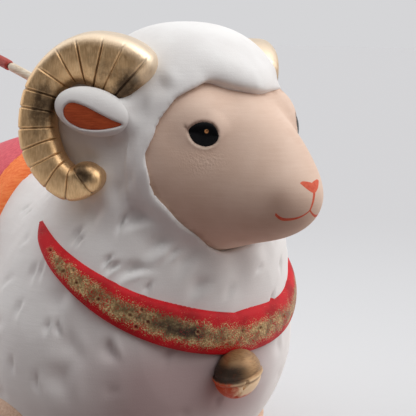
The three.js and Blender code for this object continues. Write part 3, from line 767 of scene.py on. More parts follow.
def horn_look():
    look = Look("horn gold", 0.4, metallic=0.9)
    brush = look.noise(0.3, 3.0, 0.6, stretch=(1, 1, 6))
    tone = look.mix(look.between(brush, 0.3, 0.7), paint(208, 168, 122), paint(230, 194, 148))
    tone = look.mottle(3.5, 3.0, 0.4, 0.7, tone, paint(190, 150, 104), 0.4)
    # Painted shade on the horn's front face, where the dim side is reflected, with dull paint bands along
    # the horn
    patchy = look.between(look.noise(1.6, 4.0, 0.65), 0.3, 0.7, -0.16, 0.12)
    dark = look.plus(look.attribute("patina"), patchy)
    tone = look.mix(look.between(dark, 0.05, 1.0, 0, 0.9), tone, paint(46, 33, 26))
    # Painted shade darkens the grooves cut across the horn
    tone = look.mix(look.between(look.attribute("groove"), 0.45, 1.0, 0, 0.7), tone, paint(60, 42, 30))
    # A painted highlight lightens the gold along the horn's outer edge and at its root, where light from
    # above is reflected
    look.colour(look.stain(tone, "worn", 0.8, paint(250, 238, 218)))
    look.drive("Roughness", look.between(brush, 0.25, 0.8, 0.32, 0.5))
    look.bump(brush, 0.025)
    look.bump(look.noise(0.45, 3.0), 0.03)
    return look.material


def bell_look():
    look = Look("bell gold", 0.45, metallic=0.45)
    brush = look.noise(0.3, 3.0, 0.6, stretch=(5, 5, 1))
    tone = look.mix(look.between(brush, 0.3, 0.7), paint(140, 106, 72), paint(172, 136, 96))
    # Pale: a painted highlight along the ridge, and pale paint below it made strong enough to lighten the
    # shade the ridge casts
    tone = look.mix(look.attribute("pale"), tone, paint(250, 218, 178))
    # Painted shade darkens the bell's shaded side and the groove above its ridge
    dark = look.plus(look.attribute("patina"), look.between(brush, 0.3, 0.7, -0.18, 0.1))
    tone = look.mix(look.between(dark, 0.0, 1.0, 0, 0.92), tone, paint(40, 30, 25))
    patchy = look.between(look.noise(0.8, 3.0, 0.6), 0.3, 0.7, -0.25, 0.15)
    red = look.between(look.plus(look.attribute("red"), patchy), 0.0, 1.0)
    look.colour(look.mix(red, tone, paint(214, 74, 22)))
    look.drive("Metallic", look.between(red, 0, 1, 0.45, 0.05))
    look.drive("Roughness", look.between(brush, 0.25, 0.8, 0.36, 0.55))
    look.bump(brush, 0.03)
    return look.material


def brushed_paint(name, deep, light, roughness=0.6, across=(8, 1, 1)):
    look = Look(name, roughness, specular=0.3)
    stroke = look.noise(0.5, 4.0, 0.65, stretch=across)
    tone = look.mix(look.between(stroke, 0.3, 0.72), deep, light)
    look.colour(look.mottle(8, 3.0, 0.45, 0.75, tone, deep, 0.4))
    look.bump(stroke, 0.05)
    bisque(look, 0.03)
    return look.material


def collar_look():
    look = Look("red and sponged gold", 0.42, specular=0.2)
    tone = look.mottle(6, 3.0, 0.35, 0.7, paint(206, 24, 36), paint(170, 14, 24))
    across = look.attribute("across")
    band = look.times(look.between(across, 0.0, 0.34), look.between(across, 1.0, 0.56))
    band = look.times(band, look.attribute("sponged"))
    # A painted dark reflection on the middle of the band, on its right side, darkens the red and the gold
    # there
    burnish = look.attribute("burnish")
    flecks = look.noise(0.3, 2.0, 0.7)
    patch = look.times(look.noise(3.2, 3.0), 0.34)
    cover = look.plus(look.plus(look.times(band, 0.28), patch), look.times(burnish, 0.1))
    gold = look.between(look.plus(flecks, cover), 0.86, 0.93)
    leaf = look.mottle(0.45, 2.0, 0.35, 0.7, paint(150, 122, 82), paint(222, 194, 142))
    leaf = look.mottle(3.0, 3.0, 0.45, 0.65, leaf, paint(118, 96, 64), 0.75)
    # A painted dark reflection on the middle of the band darkens the gold leaf there, varied at random
    worn = look.plus(burnish, look.between(look.noise(2.0, 3.0), 0.3, 0.7, -0.2, 0.2))
    leaf = look.mix(look.between(worn, -0.1, 1.1), leaf, paint(56, 44, 36))
    tone = look.mix(look.times(burnish, 0.5), tone, paint(84, 26, 24))
    tone = look.mix(gold, tone, leaf)
    # A painted highlight on the raised rims of the pits, and painted shade inside them
    tone = look.stain(tone, "pit_rims", 0.45, paint(214, 184, 130))
    look.colour(look.stain(tone, "pits", 0.9, paint(92, 12, 18)))
    look.drive("Metallic", look.times(gold, 0.6))
    look.drive("Roughness", look.between(gold, 0, 1, 0.55, 0.4))
    look.bump(gold, 0.04)
    look.bump(look.noise(0.5, 3.0), 0.03)
    return look.material


def wood_look():
    look = Look("pale wood", 0.6, specular=0.3)
    grain = look.noise(0.5, 4.0, 0.6, stretch=(1, 14, 1))
    look.colour(look.mix(look.between(grain, 0.35, 0.7), paint(226, 214, 196), paint(196, 174, 146)))
    look.bump(grain, 0.04)
    return look.material


# Forms shared by several pieces

def horn_plane(p):
    """Outward, forward and up coordinates about the middle of the horn's curl."""
    return in_axes(fold(p), HORN_CENTRE, (HORN_OUT, HORN_FORWARD, UP))


def wool_form(p):
    side = fold(p)
    body = blend(blend(mass(p, CHEST), mass(p, RUMP), BODY_BLEND), mass(p, NECK), NECK_BLEND)
    pad = ellipsoid(horn_plane(p) + np.array([0, PAD_BACK, 0]), PAD_HALF)
    crown = mass(p, CROWN, CROWN_FULLNESS)
    head = blend(blend(crown, mass(side, CHEEK), CHEEK_BLEND), pad, PAD_BLEND)
    return blend(body, head, HEAD_BLEND)


def face_form(p):
    snout = blend(blend(mass(p, SKULL), mass(p, MUZZLE), MUZZLE_BLEND), mass(p, BRIDGE), BRIDGE_BLEND)
    brow = size_of(fold(p) - np.array(BROW)) - BROW_RADIUS
    return blend(snout, brow, BROW_BLEND)


def closed_curve(points, steps):
    """Smooth closed curve through points."""
    points = np.asarray(points, float)
    before, after, beyond = np.roll(points, 1, 0), np.roll(points, -1, 0), np.roll(points, -2, 0)
    curve = []
    for t in np.arange(steps) / steps:
        curve.append(0.5 * (
            2 * points + (after - before) * t + (2 * before - 5 * points + 4 * after - beyond) * t ** 2
            + (3 * points - before - 3 * after + beyond) * t ** 3
        ))
    return np.stack(curve, axis=1).reshape(-1, 2)


def outline_distance(points, outline):
    """Signed distance of flat points to a closed outline, negative inside."""
    best = np.full(len(points), np.inf)
    turns = np.zeros(len(points), bool)
    for start, end in zip(outline, np.roll(outline, -1, 0)):
        run = end - start
        share = np.clip((points - start) @ run / (run @ run), 0, 1)
        best = np.minimum(best, size_of(points - start - share[:, None] * run))
        crosses = (start[1] > points[:, 1]) != (end[1] > points[:, 1])
        if run[1]:
            turns ^= crosses & (points[:, 0] < start[0] + run[0] * (points[:, 1] - start[1]) / run[1])
    return np.where(turns, -best, best)


face_outline = closed_curve(FACE_EDGE, 6)
EDGE_STEP = 0.25
edge_x = np.arange(-46, 46, EDGE_STEP)
edge_z = np.arange(40, 122, EDGE_STEP)
edge_grid = outline_distance(
    np.stack(np.meshgrid(edge_x, edge_z, indexing="ij"), axis=-1).reshape(-1, 2), face_outline,
).reshape(len(edge_x), len(edge_z))


def face_edge(p):
    """Distance to the edge of the wool seen from the front, negative on the face."""
    at_x = np.clip((p[:, 0] - edge_x[0]) / EDGE_STEP, 0, len(edge_x) - 1.001)
    at_z = np.clip((p[:, 2] - edge_z[0]) / EDGE_STEP, 0, len(edge_z) - 1.001)
    i, j = at_x.astype(int), at_z.astype(int)
    s, t = at_x - i, at_z - j
    low = edge_grid[i, j] * (1 - t) + edge_grid[i, j + 1] * t
    high = edge_grid[i + 1, j] * (1 - t) + edge_grid[i + 1, j + 1] * t
    return low * (1 - s) + high * s


stick_axis = np.array([0, math.cos(STICK_RISE), math.sin(STICK_RISE)])
stick_inside = STICK_PASS - stick_axis * (STICK_PASS[1] - NECK[0][1]) / stick_axis[1]
stick_mouth = stick_inside + stick_axis * reach_of(wool_form, stick_inside, stick_axis, STICK_LENGTH)
stick_seat = stick_mouth - stick_axis * STICK_SEAT_DEPTH


ear_middle = HORN_CENTRE + HORN_OUT * EAR_OUT + UP * EAR_UP + HORN_FORWARD * EAR_FORWARD
ear_along = HORN_OUT * math.cos(EAR_TILT) + UP * math.sin(EAR_TILT)
ear_axes = (ear_along, np.cross(HORN_FORWARD, ear_along), HORN_FORWARD)
lining_outline = closed_curve(LINING_EDGE, 5)


# Fleece: lumps all over it, and locks near the face

WOOL_LUMP = 0.5
WOOL_LUMP_SIZE = 12
LUMP_CREST = 0.4
LUMP_FADE_Z = (106, 94)
LOCK_DEPTH = 0.8
LOCK_SIZE = 6
LOCK_STRETCH = np.array([1, 1, 0.6])
LOCK_REACH = (15, 3)
LOCK_FADE_Z = (104, 96)
LOCK_FADE_Y = (-20, -30)
# Tool marks seen in the picture: pixel, length, width, depth, turn from upright in degrees
SEEN_MARKS = [
    ((76, 235), 3.6, 0.8, 0.7, -28), ((80, 241), 2.4, 0.7, 0.4, -30), ((122, 223), 3.8, 0.8, 0.8, -30),
    ((138, 219), 5.4, 2.3, 0.9, -75), ((107, 261), 2.8, 0.7, 0.6, -40), ((112, 268), 3.2, 1.0, 0.7, -55),
    ((132, 271), 5.6, 1.6, 1.0, -72), ((159, 246), 5.6, 2.6, 1.1, -70), ((175, 253), 3.6, 1.2, 0.7, -65),
    ((148, 288), 2.6, 0.8, 0.5, -30), ((200, 287), 5.0, 2.4, 0.7, -60), ((47, 327), 2.6, 0.9, 0.5, -20),
    ((58, 328), 2.8, 0.9, 0.5, 10), ((110, 350), 4.2, 2.0, 0.8, 20), ((33, 272), 4.0, 1.1, 0.5, -5),
    ((41, 270), 4.0, 1.1, 0.45, -5), ((25, 209), 2.6, 0.8, 0.45, -20), ((28, 213), 2.4, 0.7, 0.4, -25),
    ((18, 309), 3.6, 1.2, 0.45, -15), ((36, 382), 3.6, 1.0, 0.5, 0), ((12, 365), 3.0, 1.0, 0.4, 0),
    ((130, 178), 5.0, 2.2, 0.6, -10), ((281, 264), 2.8, 1.0, 0.5, -15), ((273, 297), 2.8, 1.0, 0.45, -25),
    ((61, 379), 7.0, 4.0, 0.7, -10), ((70, 345), 6.0, 3.4, 0.5, 20), ((130, 146), 6.5, 3.0, 0.9, -5),
    ((143, 113), 6.0, 3.4, 0.7, 20), ((164, 90), 6.5, 3.4, 0.8, 45), ((118, 190), 5.0, 2.4, 0.5, -20),
    ((95, 215), 5.5, 2.6, 0.4, -30), ((185, 262), 5.0, 2.4, 0.4, -50), ((60, 300), 6.0, 3.0, 0.4, -20),
]
MARK_GAIN = 1.8
MARK_SLIM = 0.8
MARK_REACH = 10
MARK_SKIN = 5
MARK_BEND = 0.05
MARK_STEEP = 0.65
MARK_SHALLOW = 1.3
MARK_LIP = 0.2
MARK_FADE = (1, 4.5)
# More marks on the wool that is left free: where, how far apart, and how many places are tried
MARK_Z = (9, 86)
MARK_OFF_FACE = 4
MARK_SPACING = 9.5
MARK_TRIES = 5000
OUTER_SKIN = 3
# Painted shade on the lower chest, tinted pink as a painted reflection of light from below
BLUSH_TOP_Z = (50, 32)
BLUSH_LOW_Z = (24, 12)
BLUSH_LOW_FADE = 0.55
BLUSH_Y = (-18, -36)
BLUSH_X = -10
BLUSH_REACH = (36, 14)


def wool_edge(p, edge):
    """Distance from where the wool meets the face: a little outside the window, over it at the temple."""
    shift = EDGE_SHIFT * smooth(p[:, 2], *EDGE_SHIFT_Z)
    return edge - shift + TEMPLE_COVER * smooth(p[:, 0], *TEMPLE_X) * smooth(p[:, 2], *TEMPLE_Z)


def with_ears(fleece, p):
    """Wool gathered up behind the ears, fullest at their roots."""
    flat = in_axes(fold(p) - np.outer(p[:, 0] > 0, LEFT_SET), ear_middle, ear_axes)
    near = np.flatnonzero((np.abs(flat) < np.array(EAR_REACH)).all(1))
    from_lining = np.full(len(p), FAR)
    from_lining[near] = outline_distance(flat[near, :2], lining_outline)
    root = smooth(flat[:, 0], *EAR_ROOT_RUN) * smooth(from_lining, *EAR_ROOT_RIM)
    fillet = fade(EAR_FILLET, EAR_ROOT_FILLET, smooth(flat[:, 0], *EAR_FILLET_RUN))
    return blend(fleece, ellipsoid(flat, EAR_HALF) + fade(EAR_SINK, EAR_ROOT_SINK, root), fillet)


def with_lip(fleece, p, edge):
    """Wool cut back to the edge of the face, where it swells up in a rounded lip."""
    front = smooth(p[:, 1], *WOOL_FRONT_Y)
    away = wool_edge(p, edge) + EDGE_WAVE * waves(p, EDGE_WAVE_SIZE, 7) + BEHIND_FACE * (1 - front)
    fringe = smooth(p[:, 2], *FRINGE_Z)
    side_height = np.interp(p[:, 0], *np.transpose(SIDE_HEIGHT))
    side_height = fade(side_height, THROAT_HEIGHT, smooth(p[:, 2], *THROAT_Z))
    height = fade(side_height, np.interp(p[:, 0], *np.transpose(FRINGE_HEIGHT)), fringe)
    run = fade(SIDE_RUN, FRINGE_RUN, fringe)
    rise = np.where(away > 0, height * round_end(away, run), LIP_FALL * away)
    lip = carve(face_form(p) - np.maximum(rise, LIP_LOWEST), away - run, LIP_ROUND)
    fleece = carve(fleece, -away, fade(SIDE_ROUND, FRINGE_ROUND, fringe))
    melted = fringe * smooth(p[:, 0], *FRINGE_BLEND_X)
    return blend(fleece, lip, fade(LIP_BLEND, FRINGE_BLEND, melted))


def hollow_field(p, form):
    """The hollow with its pour hole, and the bore of the stick."""
    inside = np.maximum(form + WALL, np.maximum(FLOOR - p[:, 2], p[:, 2] - HOLLOW_TOP))
    from_pour = np.hypot(p[:, 0], p[:, 1] - POUR_Y) - POUR_RADIUS
    inside = np.minimum(inside, np.maximum(from_pour, p[:, 2] - HOLLOW_TOP / 2))
    reach = p - stick_seat
    run = reach @ stick_axis
    bore = size_of(reach - run[:, None] * stick_axis) - STICK_RADIUS - BORE_CLEARANCE
    return np.minimum(inside, np.maximum(bore, -run))


def fleece_field(p):
    form = wool_form(p)
    edge = face_edge(p)
    dents = LUMP_CREST - np.minimum(waves(p, WOOL_LUMP_SIZE, 5), LUMP_CREST)
    fleece = form + WOOL_LUMP * dents * smooth(p[:, 2], *LUMP_FADE_Z)
    locks = waves(p * LOCK_STRETCH, LOCK_SIZE, 6) * smooth(edge, *LOCK_REACH)
    fleece -= LOCK_DEPTH * locks * smooth(p[:, 2], *LOCK_FADE_Z) * smooth(p[:, 1], *LOCK_FADE_Y)
    fleece = with_lip(with_ears(fleece, p), p, edge)
    window = np.maximum(edge + FACE_TUCK, p[:, 1] - FACE_BACK_Y)
    fleece = carve(np.maximum(fleece, -window), -p[:, 2], BASE_ROUND)
    return np.maximum(fleece, -hollow_field(p, form))


def mark_depth(verts, spot, normal, length, width, depth, turn):
    """A nick of a modelling tool: steep on one side, shallow on the other, bent like a comma."""
    upright = UP - normal * (UP @ normal)
    upright /= max(np.linalg.norm(upright), TINY)
    along = upright * math.cos(turn) + np.cross(normal, upright) * math.sin(turn)
    reach = verts - spot
    run = reach @ along
    off = reach @ np.cross(normal, along) + MARK_BEND * run ** 2
    near = np.abs(reach @ normal) < MARK_SKIN
    fall = hill(off, 0, width * np.where(off < 0, MARK_STEEP, MARK_SHALLOW))
    lip = MARK_LIP * hill(off, -1.2 * width, 0.55 * width)
    return near * depth * hill(run, 0, length / 1.8) * (fall - lip)


def no_face(verts):
    """Paint of the face's edge and the painted shade on the chest, left off a piece of plain wool."""
    plain = np.zeros(len(verts))
    return {"off_face": plain + FAR, "tan_line": plain, "pink_wash": plain}


def outward(field, verts):
    slope = gradient(field, verts)
    return slope / np.maximum(size_of(slope), TINY)[:, None]


def blush(p):
    """How far the lower chest is darkened by painted shade, tinted pink as a painted reflection of light
    from below.
    """
    height = smooth(p[:, 2], *BLUSH_TOP_Z) * (1 - BLUSH_LOW_FADE * smooth(p[:, 2], *BLUSH_LOW_Z))
    return height * smooth(p[:, 1], *BLUSH_Y) * smooth(np.abs(p[:, 0] - BLUSH_X), *BLUSH_REACH)


def wool_marks(verts, outer):
    """Tool marks on the wool: place, length, width, depth and turn of each."""
    draw = np.random.default_rng(21)
    marks = []
    for pixel, length, width, depth, turn in SEEN_MARKS:
        spot = seen_point(fleece_field, pixel)
        marks.append((spot, length, MARK_SLIM * width, MARK_GAIN * depth, math.radians(turn)))
    low, high = MARK_Z
    free = outer & (verts[:, 2] > low) & (verts[:, 2] < high) & (face_edge(verts) > MARK_OFF_FACE)
    for index in draw.permutation(np.flatnonzero(free))[:MARK_TRIES]:
        spot = verts[index]
        taken = np.array([mark[0] for mark in marks])
        if size_of(taken - spot).min() > MARK_SPACING:
            length = draw.uniform(2.6, 5.0)
            width = draw.uniform(0.8, 2.2)
            marks.append((spot, length, width, draw.uniform(0.3, 0.75), draw.uniform(-1.2, 0.4)))
    return marks


def make_fleece():
    verts, faces = surface_net(
        fleece_field, graded(-46, 0.72, 46), graded(-64, 0.62, -14, 0.95, 62),
        graded(-1.5, 0.95, 54, 0.62, 119),
    )
    normals = outward(fleece_field, verts)
    outer = np.abs(wool_form(verts)) < OUTER_SKIN
    sink = np.zeros(len(verts))
    for spot, length, width, depth, turn in wool_marks(verts, outer):
        near = np.flatnonzero(size_of(verts - spot) < MARK_REACH)
        closest = near[np.argmin(size_of(verts[near] - spot))]
        sink[near] += mark_depth(verts[near], spot, normals[closest], length, width, depth, turn)
    sink *= outer * smooth(face_edge(verts), *MARK_FADE)
    verts = verts - normals * sink[:, None]
    # The tan line where the wool meets the face is paint; the lower chest gets painted shade tinted pink
    add_piece(
        "wool_casting", verts, faces, fleece_white, "fleece", off_face=face_form(verts),
        tan_line=smooth(verts[:, 1], -38, -44) * smooth(face_edge(verts), 1.4, 0.6),
        pink_wash=blush(verts),
    )


# Face

def eye_frame():
    """Middle of the left eye, and the directions towards the nose, up and out of the eye."""
    start = np.array([EYE_X, SKULL[0][1], EYE_Z])
    forward = np.array([0, -1.0, 0])
    spot = start + forward * reach_of(face_form, start, forward, 50)
    x, y, z = outward(face_form, spot[None])[0]
    cosine, sine = math.cos(EYE_TURN), math.sin(EYE_TURN)
    normal = np.array([x * cosine - y * sine, x * sine + y * cosine, z])
    along = np.cross(normal, UP)
    along /= np.linalg.norm(along)
    return spot, (along, np.cross(along, normal), normal)


eye_spot, eye_axes = eye_frame()
eye_outline = closed_curve(EYE_OUTLINE, 6)


def face_field(p):
    form = carve(face_form(p), face_edge(p) - FACE_TUCK, FACE_EDGE_ROUND)
    return carve(form, p[:, 1] - FACE_BACK_Y + SEAT_GAP, FACE_EDGE_ROUND)


def heart_depth(x, z):
    """Distance inside the painted nose, seen from the front."""
    peak_x, peak_z = HEART_PEAK
    corner_x, corner_z = HEART_CORNER
    rise = HEART_NOTCH_Z + (peak_z - HEART_NOTCH_Z) * np.sqrt(np.clip(x / peak_x, 0, 1))
    fall = peak_z - (peak_z - corner_z) * np.clip((x - peak_x) / (corner_x - peak_x), 0, None) ** 2
    top = np.where(x < peak_x, rise, fall)
    low = HEART_BOTTOM_Z + (corner_z - HEART_BOTTOM_Z) * np.clip(x / corner_x, 0, None) ** 1.6
    return np.minimum(top - z, (z - low) * 0.75)


def press_eyes(verts):
    """Sockets, lower lids and outer creases pressed round the eyes, with painted shade along the upper rim
    and in the crease and a painted highlight on the lower lid.
    """
    flat = in_axes(fold(verts), eye_spot, eye_axes)
    rim = np.full(len(verts), FAR)
    near = size_of(flat) < EYE_REACH
    rim[near] = outline_distance(flat[near, :2], eye_outline)
    away = np.clip(rim, 0, None)
    level = np.minimum(flat[:, 2], 1.3 * away - EYE_SEAT)
    level = np.where(rim > 0, np.maximum(level, -0.1 - 0.35 * away), level)
    level += LID_RISE * hill(rim, 0.5, 0.35) * smooth(flat[:, 1], 0.5, -1.0)
    corner = np.array(EYE_OUTLINE[0])
    along = np.clip((flat[:, :2] - corner) @ CREASE_WAY, 0, CREASE_LENGTH)
    from_crease = size_of(flat[:, :2] - corner - along[:, None] * CREASE_WAY)
    crease = hill(from_crease, 0, CREASE_HALF_WIDTH) * near
    level -= CREASE_DEPTH * crease
    shift = (level - flat[:, 2]) * near * smooth(rim, 3.6, 0.3)
    side = np.column_stack([np.sign(verts[:, 0]), np.ones(len(verts)), np.ones(len(verts))])
    crinkle = hill(flat[:, 0], -0.5, 4.5) * hill(flat[:, 1], -6, 3)
    # Painted shade above the eye and in its outer crease, and a painted highlight along the lower lid
    paints = {
        "lid_light": hill(rim, 0.4, 0.22) * smooth(flat[:, 1], 0.3, -1.0),
        "lid_dark": np.maximum(crease, hill(rim, 0.2, 0.4) * smooth(flat[:, 1], -0.2, 1.2)),
        "crinkle": crinkle * (size_of(flat) < CRINKLE_REACH),
    }
    return verts + shift[:, None] * eye_axes[2] * side, paints


def nose_and_mouth(verts):
    """Paint of the nose and mouth: depth in the heart, and distance off each line with its half width."""
    x, z = np.abs(verts[:, 0] - MOUTH_X), verts[:, 2]
    front = verts[:, 1] < PAINT_BACK_Y
    low_x, low_z = SMILE_LOW
    end_x, end_z = SMILE_END
    inner = low_z + (MOUTH_Z - low_z) * np.clip((low_x - x) / low_x, 0, None) ** 2.3
    outer = low_z + (end_z - low_z) * ((x - low_x) / (end_x - low_x)) ** 2
    smile_half = SMILE_HALF_WIDTH + SMILE_SWELL * hill(x, low_x, 2.5)
    down = (HEART_BOTTOM_Z - z) / (HEART_BOTTOM_Z - MOUTH_Z)
    on_stem = (z > MOUTH_Z - 0.2) & (z < HEART_BOTTOM_Z + 0.8) & front
    return {
        "nose": np.where(front, heart_depth(np.abs(verts[:, 0] - HEART_X), z), -1),
        "smile": z - np.where(x < low_x, inner, outer),
        "smile_half": np.where((x < end_x) & front, smile_half, -1),
        "stem": verts[:, 0] - fade(HEART_X, MOUTH_X, down),
        "stem_half": np.where(on_stem, STEM_HALF_WIDTH + STEM_SPREAD * (z - MOUTH_Z), -1),
    }


def make_face():
    verts, faces = surface_net(
        face_field, graded(-27, 0.45, -9, 0.3, 9, 0.45, 27), graded(-83.5, 0.3, -68, 0.5, -38.5),
        graded(60, 0.45, 71, 0.3, 84, 0.45, 107),
    )
    verts, eye_paints = press_eyes(verts)
    # Painted shade in hollows beside the mouth and round the eye
    shade = np.zeros(len(verts))
    for pixel, reach, strength in FACE_SHADES:
        shade += strength * hill(size_of(verts - seen_point(face_form, pixel)), 0, reach)
    add_piece(
        "painted_face", verts, faces, face_paint, "face", shade=shade, edge=face_edge(verts),
        **nose_and_mouth(verts), **eye_paints,
    )


def make_eye(word, side):
    shares = np.sqrt(np.linspace(0, 1, EYE_RINGS + 1))[1:]
    count = len(eye_outline)
    flat = np.vstack([eye_outline * share for share in shares] + [eye_outline, np.zeros((2, 2))])
    dome = EYE_DOME * (1 - np.repeat(shares, count) ** 2) ** 0.8 - EYE_EDGE_SINK
    ends = [EYE_DOME - EYE_EDGE_SINK, -EYE_DEPTH]
    height = np.concatenate([dome, np.full(count, -EYE_DEPTH), ends])
    verts = from_axes(np.column_stack([flat, height]), eye_spot, eye_axes)
    piece = for_side(side, verts, capped_faces(EYE_RINGS + 1, count))
    add_piece(
        f"{word}_eye_dome", *piece, eye_gloss, f"{word}_eye", eye_along=flat[:, 0], eye_up=flat[:, 1],
    )


# Horns

def horn_point(t):
    angle = fade(HORN_START, HORN_END, t)
    flare = 1 + HORN_FLARE * np.clip(1 - t / HORN_FLARE_RUN, 0, None) ** 2
    forward = fade(-HORN_ROOT_SINK, HORN_TIP_FORWARD, np.clip(t, 0, 1) ** HORN_FORWARD_POWER)
    out = HORN_HALF_REACH * flare * np.cos(angle)
    lift = HORN_TIP_LIFT * np.clip((t - HORN_LIFT_START) / (1 - HORN_LIFT_START), 0, None) ** 2
    up = HORN_HALF_HEIGHT * flare * np.sin(angle) - HORN_DROP + lift
    flat = np.column_stack([out, forward, up])
    return from_axes(flat, HORN_CENTRE, (HORN_OUT, HORN_FORWARD, UP))


def horn_grooves(run, inner, facing, length, seed):
    """Depth of the grooves cut across the horn, each a little askew."""
    first = HORN_ROOT_ROUND + GROOVE_HALF_WIDTH
    last = length - HORN_TIP_ROUND - GROOVE_HALF_WIDTH
    draw = np.random.default_rng(seed)
    cut = np.zeros_like(run)
    for station in np.linspace(first, last, HORN_GROOVES):
        off = run - station - draw.uniform(-0.5, 0.5) * inner - draw.uniform(-0.4, 0.4)
        stop = GROOVE_STOPS[0] if station < GROOVE_SHORT_RUN * length else GROOVE_STOPS[1]
        reach = smooth(inner, stop - 0.1, stop + 0.1) * smooth(facing, 0.22, 0.55)
        depth = GROOVE_DEPTH * draw.uniform(0.8, 1.15)
        cut += reach * depth * np.clip(1 - np.abs(off) / GROOVE_HALF_WIDTH, 0, 1)
    return cut


def make_horn(word, side):
    t = np.linspace(0, 1, HORN_RINGS)
    centre = horn_point(t)
    along = np.gradient(centre, axis=0)
    along /= size_of(along)[:, None]
    front = HORN_FORWARD - (along @ HORN_FORWARD)[:, None] * along
    front /= size_of(front)[:, None]
    inward = np.cross(along, front)
    run = np.concatenate([[0], np.cumsum(size_of(np.diff(centre, axis=0)))])
    length = run[-1]
    ends = round_end(run, HORN_ROOT_ROUND) * round_end(length - run, HORN_TIP_ROUND)
    thin = smooth(t, HORN_TAPER_START, HORN_TAPER_END)
    radius = fade(HORN_ROOT_RADIUS, HORN_TIP_RADIUS, thin) * ends
    radius *= 1 - HORN_TIP_SLIM * smooth(t, HORN_SLIM_START, 1)
    turn = np.linspace(0, 2 * math.pi, HORN_SIDES, endpoint=False)
    run_grid, turn_grid = np.meshgrid(run, turn, indexing="ij")
    facing, inner = np.cos(turn_grid), np.sin(turn_grid)
    cut = horn_grooves(run_grid, inner, facing, length, 31 if side < 0 else 32)
    spots = np.column_stack([run_grid.ravel(), 4 * facing.ravel(), 4 * inner.ravel()])
    wobble = HORN_WOBBLE * waves(spots, HORN_WOBBLE_SIZE, 40 + side).reshape(run_grid.shape)
    power = np.where(inner < 0, *HORN_SQUARE)
    square = (np.abs(facing) ** power + np.abs(inner) ** power) ** (-1 / power)
    reach = radius[:, None] * square + (wobble - cut) * ends[:, None]
    reach = np.maximum(reach, 0.02)
    rings = centre[:, None] + front[:, None] * (reach * facing)[..., None]
    rings += inward[:, None] * (reach * inner)[..., None]
    verts = np.vstack([rings.reshape(-1, 3), centre[0], centre[-1]])
    share = run_grid / length
    dull = HORN_DULL + sum(strength * hill(share, at, width) for at, width, strength in HORN_DULL_BANDS)
    # Painted shade on the front face of the horn, as the dark reflection of its dim side, varied by the
    # dull paint bands
    patina = np.clip(dull, 0, 1) * smooth(facing, 0.1, 0.8) * smooth(inner, -0.7, 0.1)
    # Painted highlight along the outer edge of the horn and at its root
    worn = 0.65 * hill(share, 0, 0.055) * smooth(inner, 0.0, -0.55)
    worn = np.maximum(worn, 0.8 * smooth(inner, -0.45, -0.75) * smooth(share, 0.5, 0.3))
    # The grooves get painted shade, the front face painted shade and the outer edge a painted highlight
    paints = {"groove": np.clip(cut / GROOVE_DEPTH, 0, 1), "patina": patina, "worn": worn}
    paints = {name: np.concatenate([values.ravel(), [0, 0]]) for name, values in paints.items()}
    piece = set_on_side(side, verts, capped_faces(HORN_RINGS, HORN_SIDES))
    add_piece(f"{word}_horn_curl", *piece, horn_gold, f"{word}_horn", **paints)


# Ears

def ear_top(flat):
    """Height of the ear's rounded face over its middle plane."""
    share = (flat[:, 0] / EAR_HALF[0]) ** 2 + (flat[:, 1] / EAR_HALF[1]) ** 2
    return EAR_HALF[2] * np.sqrt(np.clip(1 - share, 0, 1))


def ear_field(p):
    flat = in_axes(p, ear_middle, ear_axes)
    hollow = outline_distance(flat[:, :2], lining_outline)
    floor = ear_top(flat) - LINING_RECESS - EAR_SCOOP
    scoop = np.maximum(hollow, floor - flat[:, 2])
    return carve(ellipsoid(flat, EAR_HALF), -scoop, EAR_RIM_ROUND)


def make_ears():
    low, high = solid_box("left_ear")
    verts, faces = surface_net(ear_field, *grid_round(low - LEFT_SET, high - LEFT_SET, 0.32, 4, 3))
    for word, side in SIDES.items():
        piece = set_on_side(side, verts, faces)
        add_piece(f"{word}_ear_leaf", *piece, plain_white, f"{word}_ear", **no_face(verts))


def make_linings():
    shares = np.linspace(0.08, 1, 12)
    count = len(lining_outline)
    middle = lining_outline.mean(0)
    rings = [middle + (lining_outline - middle) * share for share in shares]
    flat = np.vstack(rings + [lining_outline, middle, middle])
    share = np.concatenate([np.repeat(shares, count), np.ones(count), [0, 0]])
    height = ear_top(flat) - LINING_RECESS + LINING_CURL * share ** 2
    height[-count - 2:-2] -= LINING_EDGE_DEPTH
    height[-1] -= LINING_DEPTH
    verts = from_axes(np.column_stack([flat, height]), ear_middle, ear_axes)
    faces = flipped(capped_faces(len(shares) + 1, count))
    for word, side in SIDES.items():
        add_piece(f"{word}_ear_paint", *set_on_side(side, verts, faces), ear_orange, f"{word}_ear_lining")


# Collar and bell

def line_through(points):
    """Height and slope over Y of a curve through three points."""
    (first_y, first_z), (second_y, second_z), (third_y, third_z) = points
    slope = (second_z - first_z) / (second_y - first_y)
    bend = ((third_z - second_z) / (third_y - second_y) - slope) / (third_y - first_y)

    def at(y):
        height = first_z + slope * (y - first_y) + bend * (y - first_y) * (y - second_y)
        return height, slope + bend * (2 * y - first_y - second_y)
    return at


collar_top = line_through([COLLAR_TIP, *COLLAR_TOP])
collar_low = line_through([COLLAR_TIP, *COLLAR_LOW])


def below_top(p):
    height, slope = collar_top(p[:, 1])
    dip = COLLAR_DIP * np.exp(-np.abs(p[:, 0]) / COLLAR_DIP_REACH)
    return (height - dip - p[:, 2] - COLLAR_HANG * p[:, 0]) / np.hypot(1, slope)


def above_low(p):
    height, slope = collar_low(p[:, 1])
    height = height - COLLAR_SAG * hill(p[:, 1], COLLAR_SAG_Y, COLLAR_SAG_REACH)
    return (p[:, 2] + COLLAR_HANG * p[:, 0] - height) / np.hypot(1, slope)


def across_collar(p):
    """Share of the way down from the collar's upper edge to its lower edge."""
    top = below_top(p)
    return np.clip(top / np.maximum(top + above_low(p), 0.1), 0, 1)


